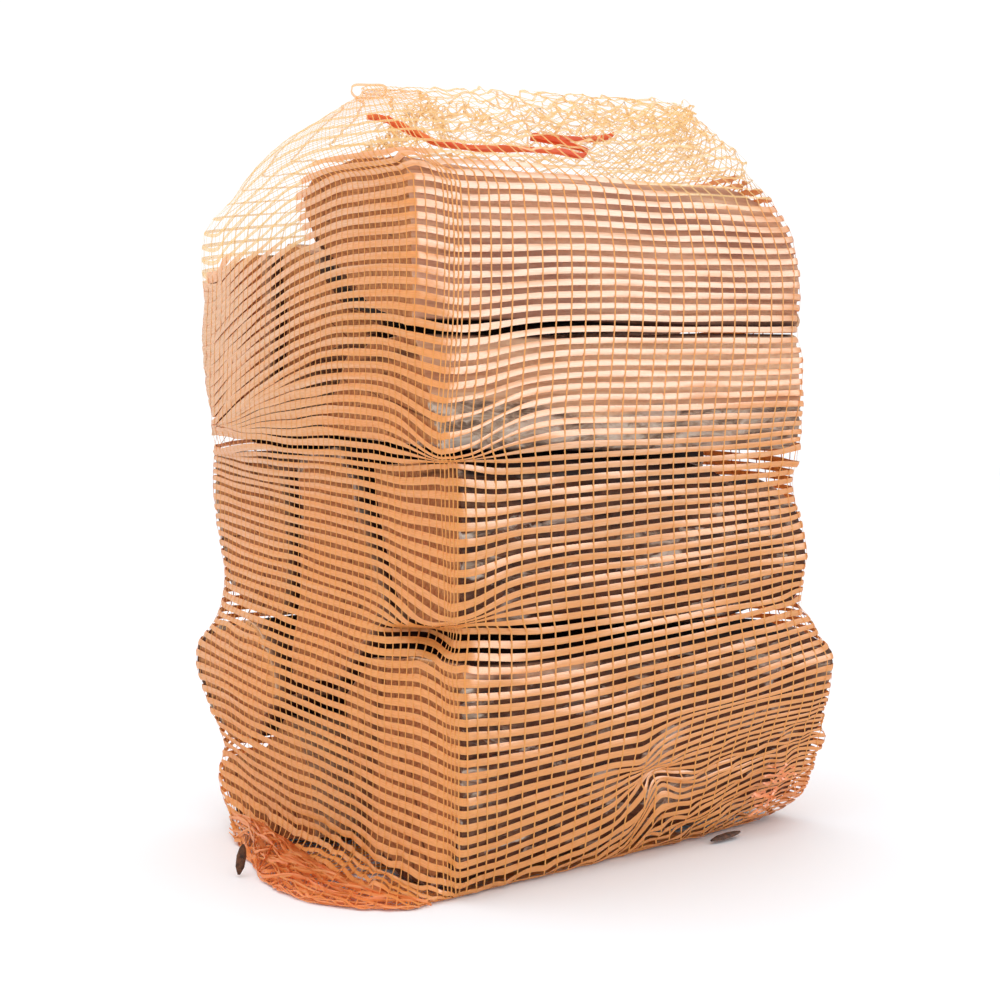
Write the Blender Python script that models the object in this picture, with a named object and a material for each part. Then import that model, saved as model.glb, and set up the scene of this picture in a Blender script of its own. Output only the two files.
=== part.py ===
# A net bag of split firewood, standing on its gathered bottom.
# The logs lie along X, one on another, and their sawn ends make the -X and +X sides.
# Outlines are points (y, z, corner radius) in millimetres, measured from the vertical edge
# of the stack at its lowest y, on the plane of the floor.
# +Z is up. The finished part stands centred on the origin, with the floor at z = 0.
import math

import bmesh
import bpy
import numpy as np
from mathutils import Vector

MM = 0.001

# Logs
LOG_STATIONS = 5            # rings along a log, the sawn rims included
CORNER_STEPS = 2            # straight steps round each rounded corner
RIM_CHAMFER = 1.2           # the sawn rim is broken this far back, in mm
BOW = 1.0                   # how far the middle of a log leaves the straight line, in mm
SHARP_ANGLE = 32            # edges of a log that turn more than this many degrees are shaded sharp

# Net
NET_TURNS = (-10, -5, -2, 0, 2, 5, 10, 25, 45, 65)   # directions, in degrees, in each quarter turn
NET_COUNT = 4 * len(NET_TURNS)
NET_CLEARANCE = 0.9         # air between the net and the logs, in mm
NET_THICKNESS = 0.9         # thickness of the stand-in for the woven tapes, in mm
NET_HEIGHTS = (0, 6, 13, 22, 34, 52, 70, 88, 104, 120, 136, 154, 172, 190, 206,
               222, 240, 258, 276, 294, 312, 330, 346)
SAMPLE_STEP = 3.0           # spacing of the log points that the net is wrapped on, in mm
TOP_BAND = 30               # the last of these rings is wrapped round what lies this far above it

# Crown: the loose net above the logs, as (height, x from, x to, y from, y to, corner radius)
CROWN = (
    (358, -15, 247, 9, 200, 16),
    (368, -14, 229, 24, 182, 16),
    (378, -12, 220, 32, 142, 14),
    (386, -8, 213, 44, 104, 10),
    (392, -2, 206, 56, 90, 6),
)
SHOULDER = ((296, 231), (318, 236), (339, 236), (352, 216))   # (height, widest y) of the loose net
SHOULDER_SETBACK = 18              # how far in from the log ends that width starts and stops
MOUTH = (394, 105, 40, 73, 5)      # height, middle x, half length, middle y, half width
CROWN_RISE = 11                    # how much higher the ridge is at its far end than at its near one

# Tail: the gathered bottom of the net, pushed out in front of the log ends
TAIL_OUTLINE = ((-22, 6), (-40, 21), (-52, 44), (-53, 71), (-48, 96), (-24, 112))
TAIL_HEIGHT = 26

# name, start x, end x, near outline, far outline
LOGS = {
    "log_bottom_front": dict(
        ends=(6, 259),
        near=((16, 3, 14), (-4, 18, 14), (-5, 70, 40), (-4, 113, 5), (40, 112, 20),
              (78, 107, 8), (102, 84, 6), (95, 50, 20), (87, 9, 8), (50, 3, 20)),
        far=((38, 4, 14), (18, 28, 18), (4, 64, 30), (-3, 96, 9), (28, 107, 25),
             (70, 103, 14), (97, 82, 12), (92, 50, 20), (84, 14, 12), (58, 4, 20)),
    ),
    "log_bottom_back": dict(
        ends=(0, 248),
        near=((116, 6, 6), (121, 34, 20), (130, 56, 12), (146, 70, 4), (166, 49, 12),
              (190, 42, 10), (207, 37, 8), (215, 28, 6), (200, 12, 12), (186, 4, 8), (150, 2.5, 20)),
        far=((112, 10, 10), (115, 34, 20), (126, 54, 14), (146, 66, 9), (168, 50, 14),
             (192, 46, 12), (210, 38, 10), (216, 26, 10), (204, 12, 12), (186, 4, 10), (148, 3, 20)),
    ),
    "log_lower_back": dict(
        ends=(-8, 238),
        near=((141, 79, 5), (150, 96, 15), (160, 109, 10), (178, 114, 12), (206, 111, 20),
              (228, 99, 8), (229, 84, 10), (210, 60, 20), (190, 50, 12), (168, 53, 10)),
        far=((143, 82, 8), (151, 96, 15), (162, 108, 12), (180, 113, 14), (206, 109, 20),
             (222, 98, 12), (224, 84, 14), (210, 65, 20), (190, 56, 14), (170, 58, 12)),
    ),
    "log_middle_front": dict(
        ends=(4, 240),
        near=((-3, 131, 4), (-6, 160, 40), (-4, 207, 3), (30, 208, 20), (70, 205, 5),
              (66, 182, 20), (54, 145, 12), (42, 130, 6)),
        far=((8, 120, 14), (-5, 150, 30), (10, 182, 24), (36, 191, 25), (66, 188, 10),
             (62, 172, 20), (52, 142, 14), (40, 122, 10)),
    ),
    "log_middle_centre": dict(
        ends=(0, 250),
        near=((54, 140, 5), (68, 120, 10), (100, 92, 6), (136, 86, 5), (138, 106, 15), (131, 132, 20),
              (131, 182, 20), (136, 200, 6), (128, 210, 8), (96, 213, 8), (84, 200, 12), (74, 178, 20)),
        far=((58, 140, 8), (70, 122, 12), (98, 96, 10), (132, 90, 8), (136, 106, 15), (130, 132, 20),
             (130, 178, 20), (133, 194, 10), (124, 205, 12), (98, 207, 12), (86, 196, 14), (77, 176, 20)),
    ),
    "log_middle_back": dict(
        ends=(0, 246),
        near=((146, 121, 6), (142, 152, 30), (148, 184, 15), (156, 199, 8), (184, 206, 12),
              (224, 206, 5), (223, 178, 25), (212, 151, 15), (202, 132, 10), (170, 119, 10)),
        far=((148, 124, 10), (143, 152, 30), (148, 180, 18), (158, 196, 12), (184, 204, 16),
             (218, 198, 14), (221, 176, 25), (213, 152, 18), (202, 134, 12), (174, 121, 12)),
    ),
    "log_upper_front": dict(
        ends=(-10, 237),
        near=((-13, 215, 4), (-3, 236, 20), (11, 271, 3), (50, 267, 20), (74, 260, 6),
              (84, 243, 12), (106, 228, 5), (86, 218, 10), (30, 217, 20)),
        far=((0, 208, 8), (-3, 236, 30), (0, 268, 8), (48, 266, 20), (76, 258, 10),
             (84, 242, 14), (100, 227, 8), (84, 212, 10), (34, 206, 20)),
    ),
    "log_upper_back": dict(
        ends=(-8, 242),
        near=((197, 214, 4), (184, 220, 8), (159, 239, 10), (157, 285, 25), (160, 316, 5),
              (196, 310, 10), (215, 298, 8), (219, 266, 25), (209, 232, 15)),
        far=((199, 214, 10), (184, 224, 12), (162, 244, 14), (160, 284, 25), (164, 308, 12),
             (194, 306, 14), (212, 296, 12), (219, 266, 25), (212, 236, 18)),
    ),
    "log_top_wedge": dict(
        ends=(5, 245),
        near=((54, 273.5, 3), (92, 293, 20), (129, 320, 6), (152, 319, 5), (151, 288, 20),
              (152, 248, 5), (136, 252, 10), (96, 264, 15)),
        far=((66, 280, 4), (98, 302, 18), (130, 333, 10), (153, 335, 7), (153, 296, 20),
             (153, 258, 8), (134, 262, 12), (98, 272, 18)),
    ),
    "log_top_front": dict(
        ends=(-12, 242),
        near=((9, 275, 4), (12, 318, 40), (18, 356, 7), (60, 359, 40), (100, 354, 14),
              (115, 340, 7), (104, 321, 12), (68, 293, 25), (40, 281, 12)),
        far=((8, 276, 8), (1, 305, 40), (16, 338, 30), (60, 357, 40), (98, 352, 20),
             (113, 338, 10), (103, 320, 14), (68, 295, 25), (40, 284, 12)),
    ),
}

# How far each sawn end leans from square, as (lean along y, lean along z) at the near and far end
END_LEANS = {
    "log_bottom_front": ((0.02, 0.03), (-0.04, 0.05)),
    "log_bottom_back": ((-0.03, 0.02), (0.03, 0.02)),
    "log_lower_back": ((0.03, -0.02), (0.02, -0.04)),
    "log_middle_front": ((0.01, -0.03), (-0.02, 0.03)),
    "log_middle_centre": ((-0.024, 0.017), (0.027, -0.034)),
    "log_middle_back": ((0.02, 0.03), (-0.02, 0.02)),
    "log_upper_front": ((0.02, -0.04), (0.01, 0.04)),
    "log_upper_back": ((-0.03, 0.03), (0.04, 0.02)),
    "log_top_wedge": ((0.02, 0.02), (-0.03, 0.02)),
    "log_top_front": ((0.01, 0.03), (0.02, -0.05)),
}

# Slivers of bark on the floor: middle (x, y, z), length, width, thickness, turns about x, y, z
SLIVERS = {
    "bark_sliver_front": dict(middle=(-51, 106, 8.4), size=(15, 5, 2.2), turn=(20, -72, 30)),
    "bark_sliver_side": dict(middle=(190, 9, 2.4), size=(24, 5.5, 2.4), turn=(8, -2, 6)),
}

COLOURS = {
    "split_wood": (0.72, 0.49, 0.30),
    "net": (0.93, 0.36, 0.12),
    "bark": (0.10, 0.08, 0.07),
}


def clear_scene():
    for item in list(bpy.data.objects):
        bpy.data.objects.remove(item, do_unlink=True)


def make_material(name, colour, roughness):
    material = bpy.data.materials.new(name)
    material.use_nodes = True
    shader = material.node_tree.nodes["Principled BSDF"]
    shader.inputs["Base Color"].default_value = (*colour, 1.0)
    shader.inputs["Roughness"].default_value = roughness
    shader.inputs["Metallic"].default_value = 0.0
    material.diffuse_color = (*colour, 1.0)
    return material


def rounded_outline(corners):
    # Each corner becomes an arc that touches both of its sides, no longer than 0.45 of either.
    points = []
    count = len(corners)
    for index, (y, z, radius) in enumerate(corners):
        corner = np.array((y, z), float)
        before = np.array(corners[index - 1][:2], float) - corner
        after = np.array(corners[(index + 1) % count][:2], float) - corner
        length_before = np.linalg.norm(before)
        length_after = np.linalg.norm(after)
        before /= length_before
        after /= length_after
        half_angle = 0.5 * math.acos(float(np.clip(before @ after, -1.0, 1.0)))
        reach = min(radius / math.tan(half_angle), 0.45 * length_before, 0.45 * length_after)
        start = corner + before * reach
        end = corner + after * reach
        for step in range(CORNER_STEPS + 1):
            t = step / CORNER_STEPS
            points.append((1 - t) ** 2 * start + 2 * t * (1 - t) * corner + t ** 2 * end)
    return np.array(points)


def log_rings(name, log):
    # Rings of points from the near sawn end to the far one, with a short chamfer at each rim.
    near = rounded_outline(log["near"])
    far = rounded_outline(log["far"])
    start, end = log["ends"]
    lean_near, lean_far = END_LEANS[name]
    bow_turn = 2.0 * math.pi * list(LOGS).index(name) / len(LOGS)
    rings = []
    fractions = np.linspace(0.0, 1.0, LOG_STATIONS)
    for fraction in fractions:
        outline = near + (far - near) * fraction
        middle = outline.mean(axis=0)
        bend = BOW * math.sin(math.pi * fraction)
        shift = np.array((math.cos(bow_turn), math.sin(bow_turn))) * bend
        lean = np.array(lean_near) * (1 - fraction) + np.array(lean_far) * fraction
        x = start + (end - start) * fraction + (outline - middle) @ lean
        ring = np.column_stack((x, outline + shift))
        if fraction in (0.0, 1.0):
            inward = RIM_CHAMFER if fraction == 0.0 else -RIM_CHAMFER
            centre = ring.mean(axis=0)
            away = ring - centre
            away *= 1.0 - RIM_CHAMFER / np.linalg.norm(away, axis=1, keepdims=True)
            rim = centre + away
            shoulder = ring + np.array((inward, 0.0, 0.0))
            rings.extend((rim, shoulder) if fraction == 0.0 else (shoulder, rim))
        else:
            rings.append(ring)
    return rings


def link_object(name, mesh_data, material):
    item = bpy.data.objects.new(name, mesh_data)
    item.data.materials.append(material)
    bpy.context.scene.collection.objects.link(item)
    return item


def bulging_split(a, b, c, d, centre):
    # Cuts a bent four-sided face along the diagonal that lies further out from the centre.
    outward = ((a.co + c.co) * 0.5 - centre).normalized()
    if ((a.co + c.co) - (b.co + d.co)).dot(outward) > 0.0:
        return (a, b, c), (a, c, d)
    return (b, c, d), (b, d, a)


def mesh_from_rings(name, rings):
    # Skins a tube over rings that have the same number of points, with a flat face at each end.
    mesh_data = bpy.data.meshes.new(name)
    mesh = bmesh.new()
    rows = [[mesh.verts.new(tuple(point)) for point in ring] for ring in rings]
    count = len(rows[0])
    for lower, upper in zip(rows, rows[1:]):
        middle = sum((vertex.co for vertex in lower), Vector()) / count
        for index in range(count):
            following = (index + 1) % count
            corners = (lower[index], lower[following], upper[following], upper[index])
            for triangle in bulging_split(*corners, middle):
                mesh.faces.new(triangle)
    ends = [mesh.faces.new(list(reversed(rows[0]))), mesh.faces.new(rows[-1])]
    bmesh.ops.triangulate(mesh, faces=ends)
    bmesh.ops.recalc_face_normals(mesh, faces=mesh.faces)
    if mesh.calc_volume(signed=True) < 0.0:
        bmesh.ops.reverse_faces(mesh, faces=mesh.faces)
    mesh.to_mesh(mesh_data)
    mesh.free()
    return mesh_data


def make_log(name, rings, offset, material):
    placed = [(ring + offset) * MM for ring in rings]
    mesh_data = mesh_from_rings(name, placed)
    item = link_object(name, mesh_data, material)
    mesh_data.shade_smooth()
    mesh_data.set_sharp_from_angle(angle=math.radians(SHARP_ANGLE))
    return item


def points_on_rings(rings):
    # Points no further apart than SAMPLE_STEP round each ring, for the net to be wrapped on.
    samples = []
    for ring in rings:
        following = np.roll(ring, -1, axis=0)
        for start, end in zip(ring, following):
            steps = max(1, math.ceil(np.linalg.norm(end - start) / SAMPLE_STEP))
            fractions = np.arange(steps)[:, None] / steps
            samples.append(start + (end - start) * fractions)
    return np.vstack(samples)


def tail_points(height):
    # The tail's outline shrinks back to the log ends as an ellipse does, from the floor up.
    if height >= TAIL_HEIGHT:
        return np.zeros((0, 2))
    reach = math.sqrt(1.0 - (height / TAIL_HEIGHT) ** 2)
    return np.array([(x * reach, y) for x, y in TAIL_OUTLINE], float)


def shoulder_points(height, ends):
    # The loose net stands a little wide of the upper back log.
    heights = [item[0] for item in SHOULDER]
    if not heights[0] <= height <= heights[-1]:
        return np.zeros((0, 2))
    widest = np.interp(height, heights, [item[1] for item in SHOULDER])
    return np.array([(ends[0] + SHOULDER_SETBACK, widest), (ends[1] - SHOULDER_SETBACK, widest)])


def wrap(points, distance):
    # A tight belt: each straight touches the points in its own direction, at the distance, and
    # its corners are where neighbouring straights cross.
    angles = np.radians([quarter * 90 + turn for quarter in range(4) for turn in NET_TURNS])
    normals = np.column_stack((np.cos(angles), np.sin(angles)))
    reach = (normals @ points.T).max(axis=1) + distance
    next_normals = np.roll(normals, -1, axis=0)
    next_reach = np.roll(reach, -1)
    turn = normals[:, 0] * next_normals[:, 1] - normals[:, 1] * next_normals[:, 0]
    x = (reach * next_normals[:, 1] - next_reach * normals[:, 1]) / turn
    y = (next_reach * normals[:, 0] - reach * next_normals[:, 0]) / turn
    return np.column_stack((x, y))


def net_rings(samples, distance, floor):
    # Rings of the net from the floor to the mouth, each stretched round what lies near its height.
    rings = []
    ends = (samples[:, 0].min(), samples[:, 0].max())
    for index, height in enumerate(NET_HEIGHTS):
        lowest = NET_HEIGHTS[max(index - 1, 0)] - 1
        highest = NET_HEIGHTS[index + 1] + 1 if index + 1 < len(NET_HEIGHTS) else height + TOP_BAND
        near_height = samples[(samples[:, 2] >= lowest) & (samples[:, 2] <= highest)][:, :2]
        outline = np.vstack((near_height, tail_points(height), shoulder_points(height, ends)))
        ring = wrap(outline, distance)
        rings.append(np.column_stack((ring, np.full(NET_COUNT, max(height, floor)))))
    return rings


def sloping_ring(ring, height, share):
    # The ring climbs along x, by its share of the whole rise between the ends of the crown.
    x_from, x_to = CROWN[0][1:3]
    climb = CROWN_RISE * share * (ring[:, 0] - x_from) / (x_to - x_from)
    return np.column_stack((ring, height + climb))


def crown_rings(distance, lift):
    # Rounded rectangles that close over the logs, then a short slit for the mouth.
    rings = []
    for index, (height, x_from, x_to, y_from, y_to, radius) in enumerate(CROWN):
        corners = np.array(((x_from, y_from), (x_to, y_from), (x_to, y_to), (x_from, y_to)), float)
        middle = corners.mean(axis=0)
        corners += np.sign(middle - corners) * radius
        ring = wrap(corners, radius + distance)
        rings.append(sloping_ring(ring, height + lift, index / len(CROWN)))
    height, x_middle, half_length, y_middle, half_width = MOUTH
    slit = np.array(((x_middle - half_length, y_middle), (x_middle + half_length, y_middle)), float)
    rings.append(sloping_ring(wrap(slit, half_width), height + lift, 1.0))
    return rings


def make_net(samples, offset, material):
    # Outer skin up to the mouth, then the inner skin back down: one closed body, open at its mouth.
    outer = net_rings(samples, NET_CLEARANCE + NET_THICKNESS, 0.0)
    outer += crown_rings(NET_THICKNESS, NET_THICKNESS)
    inner = net_rings(samples, NET_CLEARANCE, NET_THICKNESS)
    inner += crown_rings(0.0, 0.0)
    rings = [(ring + offset) * MM for ring in outer + inner[::-1]]
    mesh_data = mesh_from_rings("net_bag", rings)
    item = link_object("net_bag", mesh_data, material)
    mesh_data.shade_smooth()
    return item


def make_sliver(name, sliver, offset, material):
    # A flat chip that tapers to both ends and is a little cupped, like bark off a log.
    length, width, thickness = sliver["size"]
    stations = ((-0.5, 0.25, 0.5), (-0.25, 0.9, 1.0), (0.1, 1.0, 1.0), (0.35, 0.7, 0.8), (0.5, 0.2, 0.45))
    profile = ((-0.5, 0.1), (0.0, -0.35), (0.5, 0.1), (0.3, 0.6), (-0.3, 0.6))
    rings = []
    for along, wide, thick in stations:
        ring = [(along * length, y * wide * width, (z - 0.1) * thick * thickness) for y, z in profile]
        rings.append(np.array(ring) * MM)
    mesh_data = mesh_from_rings(name, rings)
    item = link_object(name, mesh_data, material)
    item.location = (np.array(sliver["middle"], float) + offset) * MM
    item.rotation_euler = [math.radians(angle) for angle in sliver["turn"]]
    return item


def main():
    clear_scene()
    wood = make_material("split_wood", COLOURS["split_wood"], 0.8)
    net = make_material("net", COLOURS["net"], 0.45)
    bark = make_material("bark", COLOURS["bark"], 0.9)

    rings = {name: log_rings(name, log) for name, log in LOGS.items()}
    samples = np.vstack([points_on_rings(item) for item in rings.values()])

    # The part stands centred: half way between the outermost points of the net.
    widest = np.vstack(net_rings(samples, NET_CLEARANCE + NET_THICKNESS, 0.0)
                       + crown_rings(NET_THICKNESS, NET_THICKNESS))
    offset = -0.5 * (widest.min(axis=0) + widest.max(axis=0))
    offset[2] = 0.0

    for name, item in rings.items():
        make_log(name, item, offset, wood)
    make_net(samples, offset, net)
    for name, sliver in SLIVERS.items():
        make_sliver(name, sliver, offset, bark)


main()
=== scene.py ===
import math

import bpy
import numpy as np
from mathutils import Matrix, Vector


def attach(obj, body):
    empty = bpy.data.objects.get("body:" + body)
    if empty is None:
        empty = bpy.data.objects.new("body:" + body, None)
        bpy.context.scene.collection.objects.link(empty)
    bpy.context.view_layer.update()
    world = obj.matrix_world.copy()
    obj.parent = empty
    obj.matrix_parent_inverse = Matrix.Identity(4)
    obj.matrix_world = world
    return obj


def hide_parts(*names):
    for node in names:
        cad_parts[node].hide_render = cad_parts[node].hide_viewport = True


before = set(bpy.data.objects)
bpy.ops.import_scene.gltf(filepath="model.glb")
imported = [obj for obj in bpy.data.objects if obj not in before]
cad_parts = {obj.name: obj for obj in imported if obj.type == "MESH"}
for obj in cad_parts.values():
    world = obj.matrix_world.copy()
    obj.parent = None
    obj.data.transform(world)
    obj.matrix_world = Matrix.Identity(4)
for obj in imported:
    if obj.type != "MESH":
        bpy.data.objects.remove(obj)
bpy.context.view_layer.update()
print("frame loaded")

mm = 0.001
stackShift = np.array((-104.939, -112.692, 0.0))
logNames = [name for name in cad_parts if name.startswith("log_")]

cameraPlan = {
    "place": (-563.1, -758.6, 262.2),
    "heading": (0.616, 0.788),  # its direction along x and y
    "lens": 72.0,
    "sensor": 36.0,
    "shift": -0.15,             # how far the lens is shifted down, as a share of the frame
}


def makeCamera(plan):
    # The camera stands level and looks along its heading.
    data = bpy.data.cameras.new("camera")
    data.lens = plan["lens"]
    data.sensor_width = plan["sensor"]
    data.shift_y = plan["shift"]
    data.clip_start = 0.01
    camera = bpy.data.objects.new("camera", data)
    camera.location = (np.array(plan["place"]) + stackShift) * mm
    camera.rotation_euler = (math.pi / 2, 0.0, -math.atan2(*plan["heading"]))
    bpy.context.collection.objects.link(camera)
    bpy.context.scene.camera = camera


makeCamera(cameraPlan)


# Helpers for shapes

def latticeNoise(across, along, seed, wrap=256):
    # Random heights from -1 to 1 on a lattice, eased from one lattice point to the next.
    # The pattern comes back after wrap cells across.
    heights = np.random.default_rng(seed).uniform(-1.0, 1.0, (256, 256))
    across, along = np.broadcast_arrays(across, along)
    cellAcross, cellAlong = np.floor(across).astype(int), np.floor(along).astype(int)
    shareAcross, shareAlong = across - cellAcross, along - cellAlong
    shareAcross = shareAcross ** 2 * (3 - 2 * shareAcross)
    shareAlong = shareAlong ** 2 * (3 - 2 * shareAlong)
    low, high = cellAcross % wrap, (cellAcross + 1) % wrap
    near, far = cellAlong % 256, (cellAlong + 1) % 256
    nearSide = heights[low, near] * (1 - shareAcross) + heights[high, near] * shareAcross
    farSide = heights[low, far] * (1 - shareAcross) + heights[high, far] * shareAcross
    return nearSide * (1 - shareAlong) + farSide * shareAlong


def unit(vectors):
    # Each vector at length 1.
    return vectors / np.maximum(np.linalg.norm(vectors, axis=-1, keepdims=True), 1e-9)


def easeStep(low, high, value):
    # 0 below low, 1 above high, eased between.
    share = np.clip((value - low) / (high - low), 0.0, 1.0)
    return share * share * (3 - 2 * share)


def alongRings(points, axis=1):
    # The direction from the point before to the point after, round closed lines.
    return unit(np.roll(points, -1, axis=axis) - np.roll(points, 1, axis=axis))


def squareTo(vectors, tangent):
    # What is left of the vectors when their part along the tangent is taken off.
    return vectors - tangent * (vectors * tangent).sum(axis=-1, keepdims=True)


def betweenNeighbours(points):
    # The middle between each point's two neighbours in its own closed line.
    return 0.5 * (np.roll(points, 1, axis=1) + np.roll(points, -1, axis=1))


def roundTheRing(points):
    # The line closed, and how far along it each of its points lies.
    closed = np.vstack((points, points[:1]))
    steps = np.linalg.norm(np.diff(closed, axis=0), axis=1)
    return closed, np.concatenate(((0.0,), np.cumsum(steps)))


def placesAt(wanted, travelled, line):
    # The places on a line at the wanted distances along it.
    return np.column_stack([np.interp(wanted, travelled, column) for column in line.T])


def makePiece(name, points, faces, material, attributes):
    # Points in mm from the stack's corner, faces as rows of four or three point numbers.
    mesh = bpy.data.meshes.new(name)
    faceLists = [np.asarray(group) for group in faces]
    loopCount = sum(group.size for group in faceLists)
    faceCount = sum(len(group) for group in faceLists)
    sizes = np.concatenate([np.full(len(group), group.shape[1]) for group in faceLists])
    mesh.vertices.add(len(points))
    mesh.loops.add(loopCount)
    mesh.polygons.add(faceCount)
    mesh.vertices.foreach_set("co", ((points + stackShift) * mm).astype(np.float32).ravel())
    mesh.loops.foreach_set("vertex_index", np.concatenate([g.ravel() for g in faceLists]).astype(np.int32))
    starts = np.concatenate(((0,), np.cumsum(sizes)[:-1]))
    mesh.polygons.foreach_set("loop_start", starts.astype(np.int32))
    mesh.update(calc_edges=True)
    for title, kind, values in attributes:
        layer = mesh.attributes.new(title, kind, "POINT")
        field = "value" if kind == "FLOAT" else "vector"
        layer.data.foreach_set(field, np.asarray(values, dtype=np.float32).ravel())
    mesh.validate()
    mesh.shade_smooth()
    mesh.materials.append(material)
    item = bpy.data.objects.new(name, mesh)
    bpy.context.collection.objects.link(item)
    return item


def solidTriangles(item):
    # The corners of a solid's triangles, in mm from the stack's corner.
    mesh = item.data
    mesh.calc_loop_triangles()
    places = np.empty(len(mesh.vertices) * 3)
    mesh.vertices.foreach_get("co", places)
    index = np.empty(len(mesh.loop_triangles) * 3, dtype=np.int32)
    mesh.loop_triangles.foreach_get("vertices", index)
    return places.reshape(-1, 3)[index].reshape(-1, 3, 3) / mm - stackShift


# Materials

def linear(red, green, blue):
    # A colour as a screen shows it, from 0 to 255, made linear.
    share = np.array((red, green, blue)) / 255.0
    value = np.where(share <= 0.04045, share / 12.92, ((share + 0.055) / 1.055) ** 2.4)
    return (*value.tolist(), 1.0)


def newMaterial(name, roughness):
    # A material with its node tree and its main shader.
    material = bpy.data.materials.new(name)
    material.use_nodes = True
    shader = material.node_tree.nodes["Principled BSDF"]
    shader.inputs["Roughness"].default_value = roughness
    return material, material.node_tree, shader


def addNode(tree, kind, inputs=(), **settings):
    # A node with its settings; inputs are (socket, value or another node's output).
    node = tree.nodes.new(kind)
    for key, value in settings.items():
        setattr(node, key, value)
    for socket, value in inputs:
        if isinstance(value, bpy.types.NodeSocket):
            tree.links.new(value, node.inputs[socket])
        else:
            node.inputs[socket].default_value = value
    return node


def noiseOn(tree, vector, scales, detail, roughness=0.5, distortion=0.0):
    # Noise on given coordinates, stretched by a scale for each axis.
    mapping = addNode(tree, "ShaderNodeMapping", (("Vector", vector), ("Scale", scales)))
    noise = addNode(tree, "ShaderNodeTexNoise", (
        ("Vector", mapping.outputs["Vector"]), ("Scale", 1.0), ("Detail", detail),
        ("Roughness", roughness), ("Distortion", distortion)))
    return noise.outputs["Fac"]


def placeNoise(tree, scales, detail, roughness=0.6, distortion=0.0):
    # Noise on Object coordinates.
    coordinates = addNode(tree, "ShaderNodeTexCoord")
    return noiseOn(tree, coordinates.outputs["Object"], scales, detail, roughness, distortion)


def ramp(tree, value, stops):
    # A colour by value; the stops are (value, colour).
    node = addNode(tree, "ShaderNodeValToRGB", (("Fac", value),))
    while len(node.color_ramp.elements) < len(stops):
        node.color_ramp.elements.new(0.5)
    for element, (position, colour) in zip(node.color_ramp.elements, stops):
        element.position = position
        element.color = colour
    return node.outputs["Color"]


def mixColours(tree, share, first, second, kind="MIX"):
    # From the first colour towards the second, by share.
    inputs = ((0, share), (6, first), (7, second))
    return addNode(tree, "ShaderNodeMix", inputs, data_type="RGBA", blend_type=kind).outputs[2]


def mixShaders(tree, share, first, second):
    # From the first shader towards the second, by share.
    return addNode(tree, "ShaderNodeMixShader", ((0, share), (1, first), (2, second))).outputs[0]


def maths(tree, operation, first, second=0.0, third=0.5, clamp=False):
    # One step of arithmetic; MULTIPLY_ADD adds the third value.
    inputs = ((0, first), (1, second), (2, third))
    return addNode(tree, "ShaderNodeMath", inputs, operation=operation, use_clamp=clamp).outputs[0]


def addBump(tree, shader, height, strength, distance):
    # Tilts the shader's normals as a relief of the height would; distance is in metres.
    inputs = (("Height", height), ("Strength", strength), ("Distance", distance))
    bump = addNode(tree, "ShaderNodeBump", inputs)
    tree.links.new(bump.outputs["Normal"], shader.inputs["Normal"])


def attributeOf(tree, name, socket="Fac"):
    # What the mesh itself says at each point.
    return addNode(tree, "ShaderNodeAttribute", attribute_name=name).outputs[socket]


black, white = (0.0, 0.0, 0.0, 1.0), (1.0, 1.0, 1.0, 1.0)

woodColours = {
    "pale": linear(246, 220, 186),
    "warm": linear(206, 158, 120),
    "pink": linear(222, 178, 152),
    "mauve": linear(160, 112, 94),
    "endPale": linear(226, 168, 112),
    "endDark": linear(176, 112, 66),
    "crack": linear(70, 38, 22),
    "barkDark": linear(50, 26, 12),
    "barkBrown": linear(104, 62, 36),
    "barkWorn": linear(130, 98, 74),
    "barkGrey": linear(140, 120, 104),
    "birchDark": linear(104, 84, 70),
    "birchGrey": linear(168, 146, 124),
    "birchPale": linear(214, 202, 186),
    # painted shade: the colour that log sides take where another log lies close
    "paintedShade": linear(78, 46, 32),
    "ringWidth": 0.0034,    # metres
}


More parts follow.
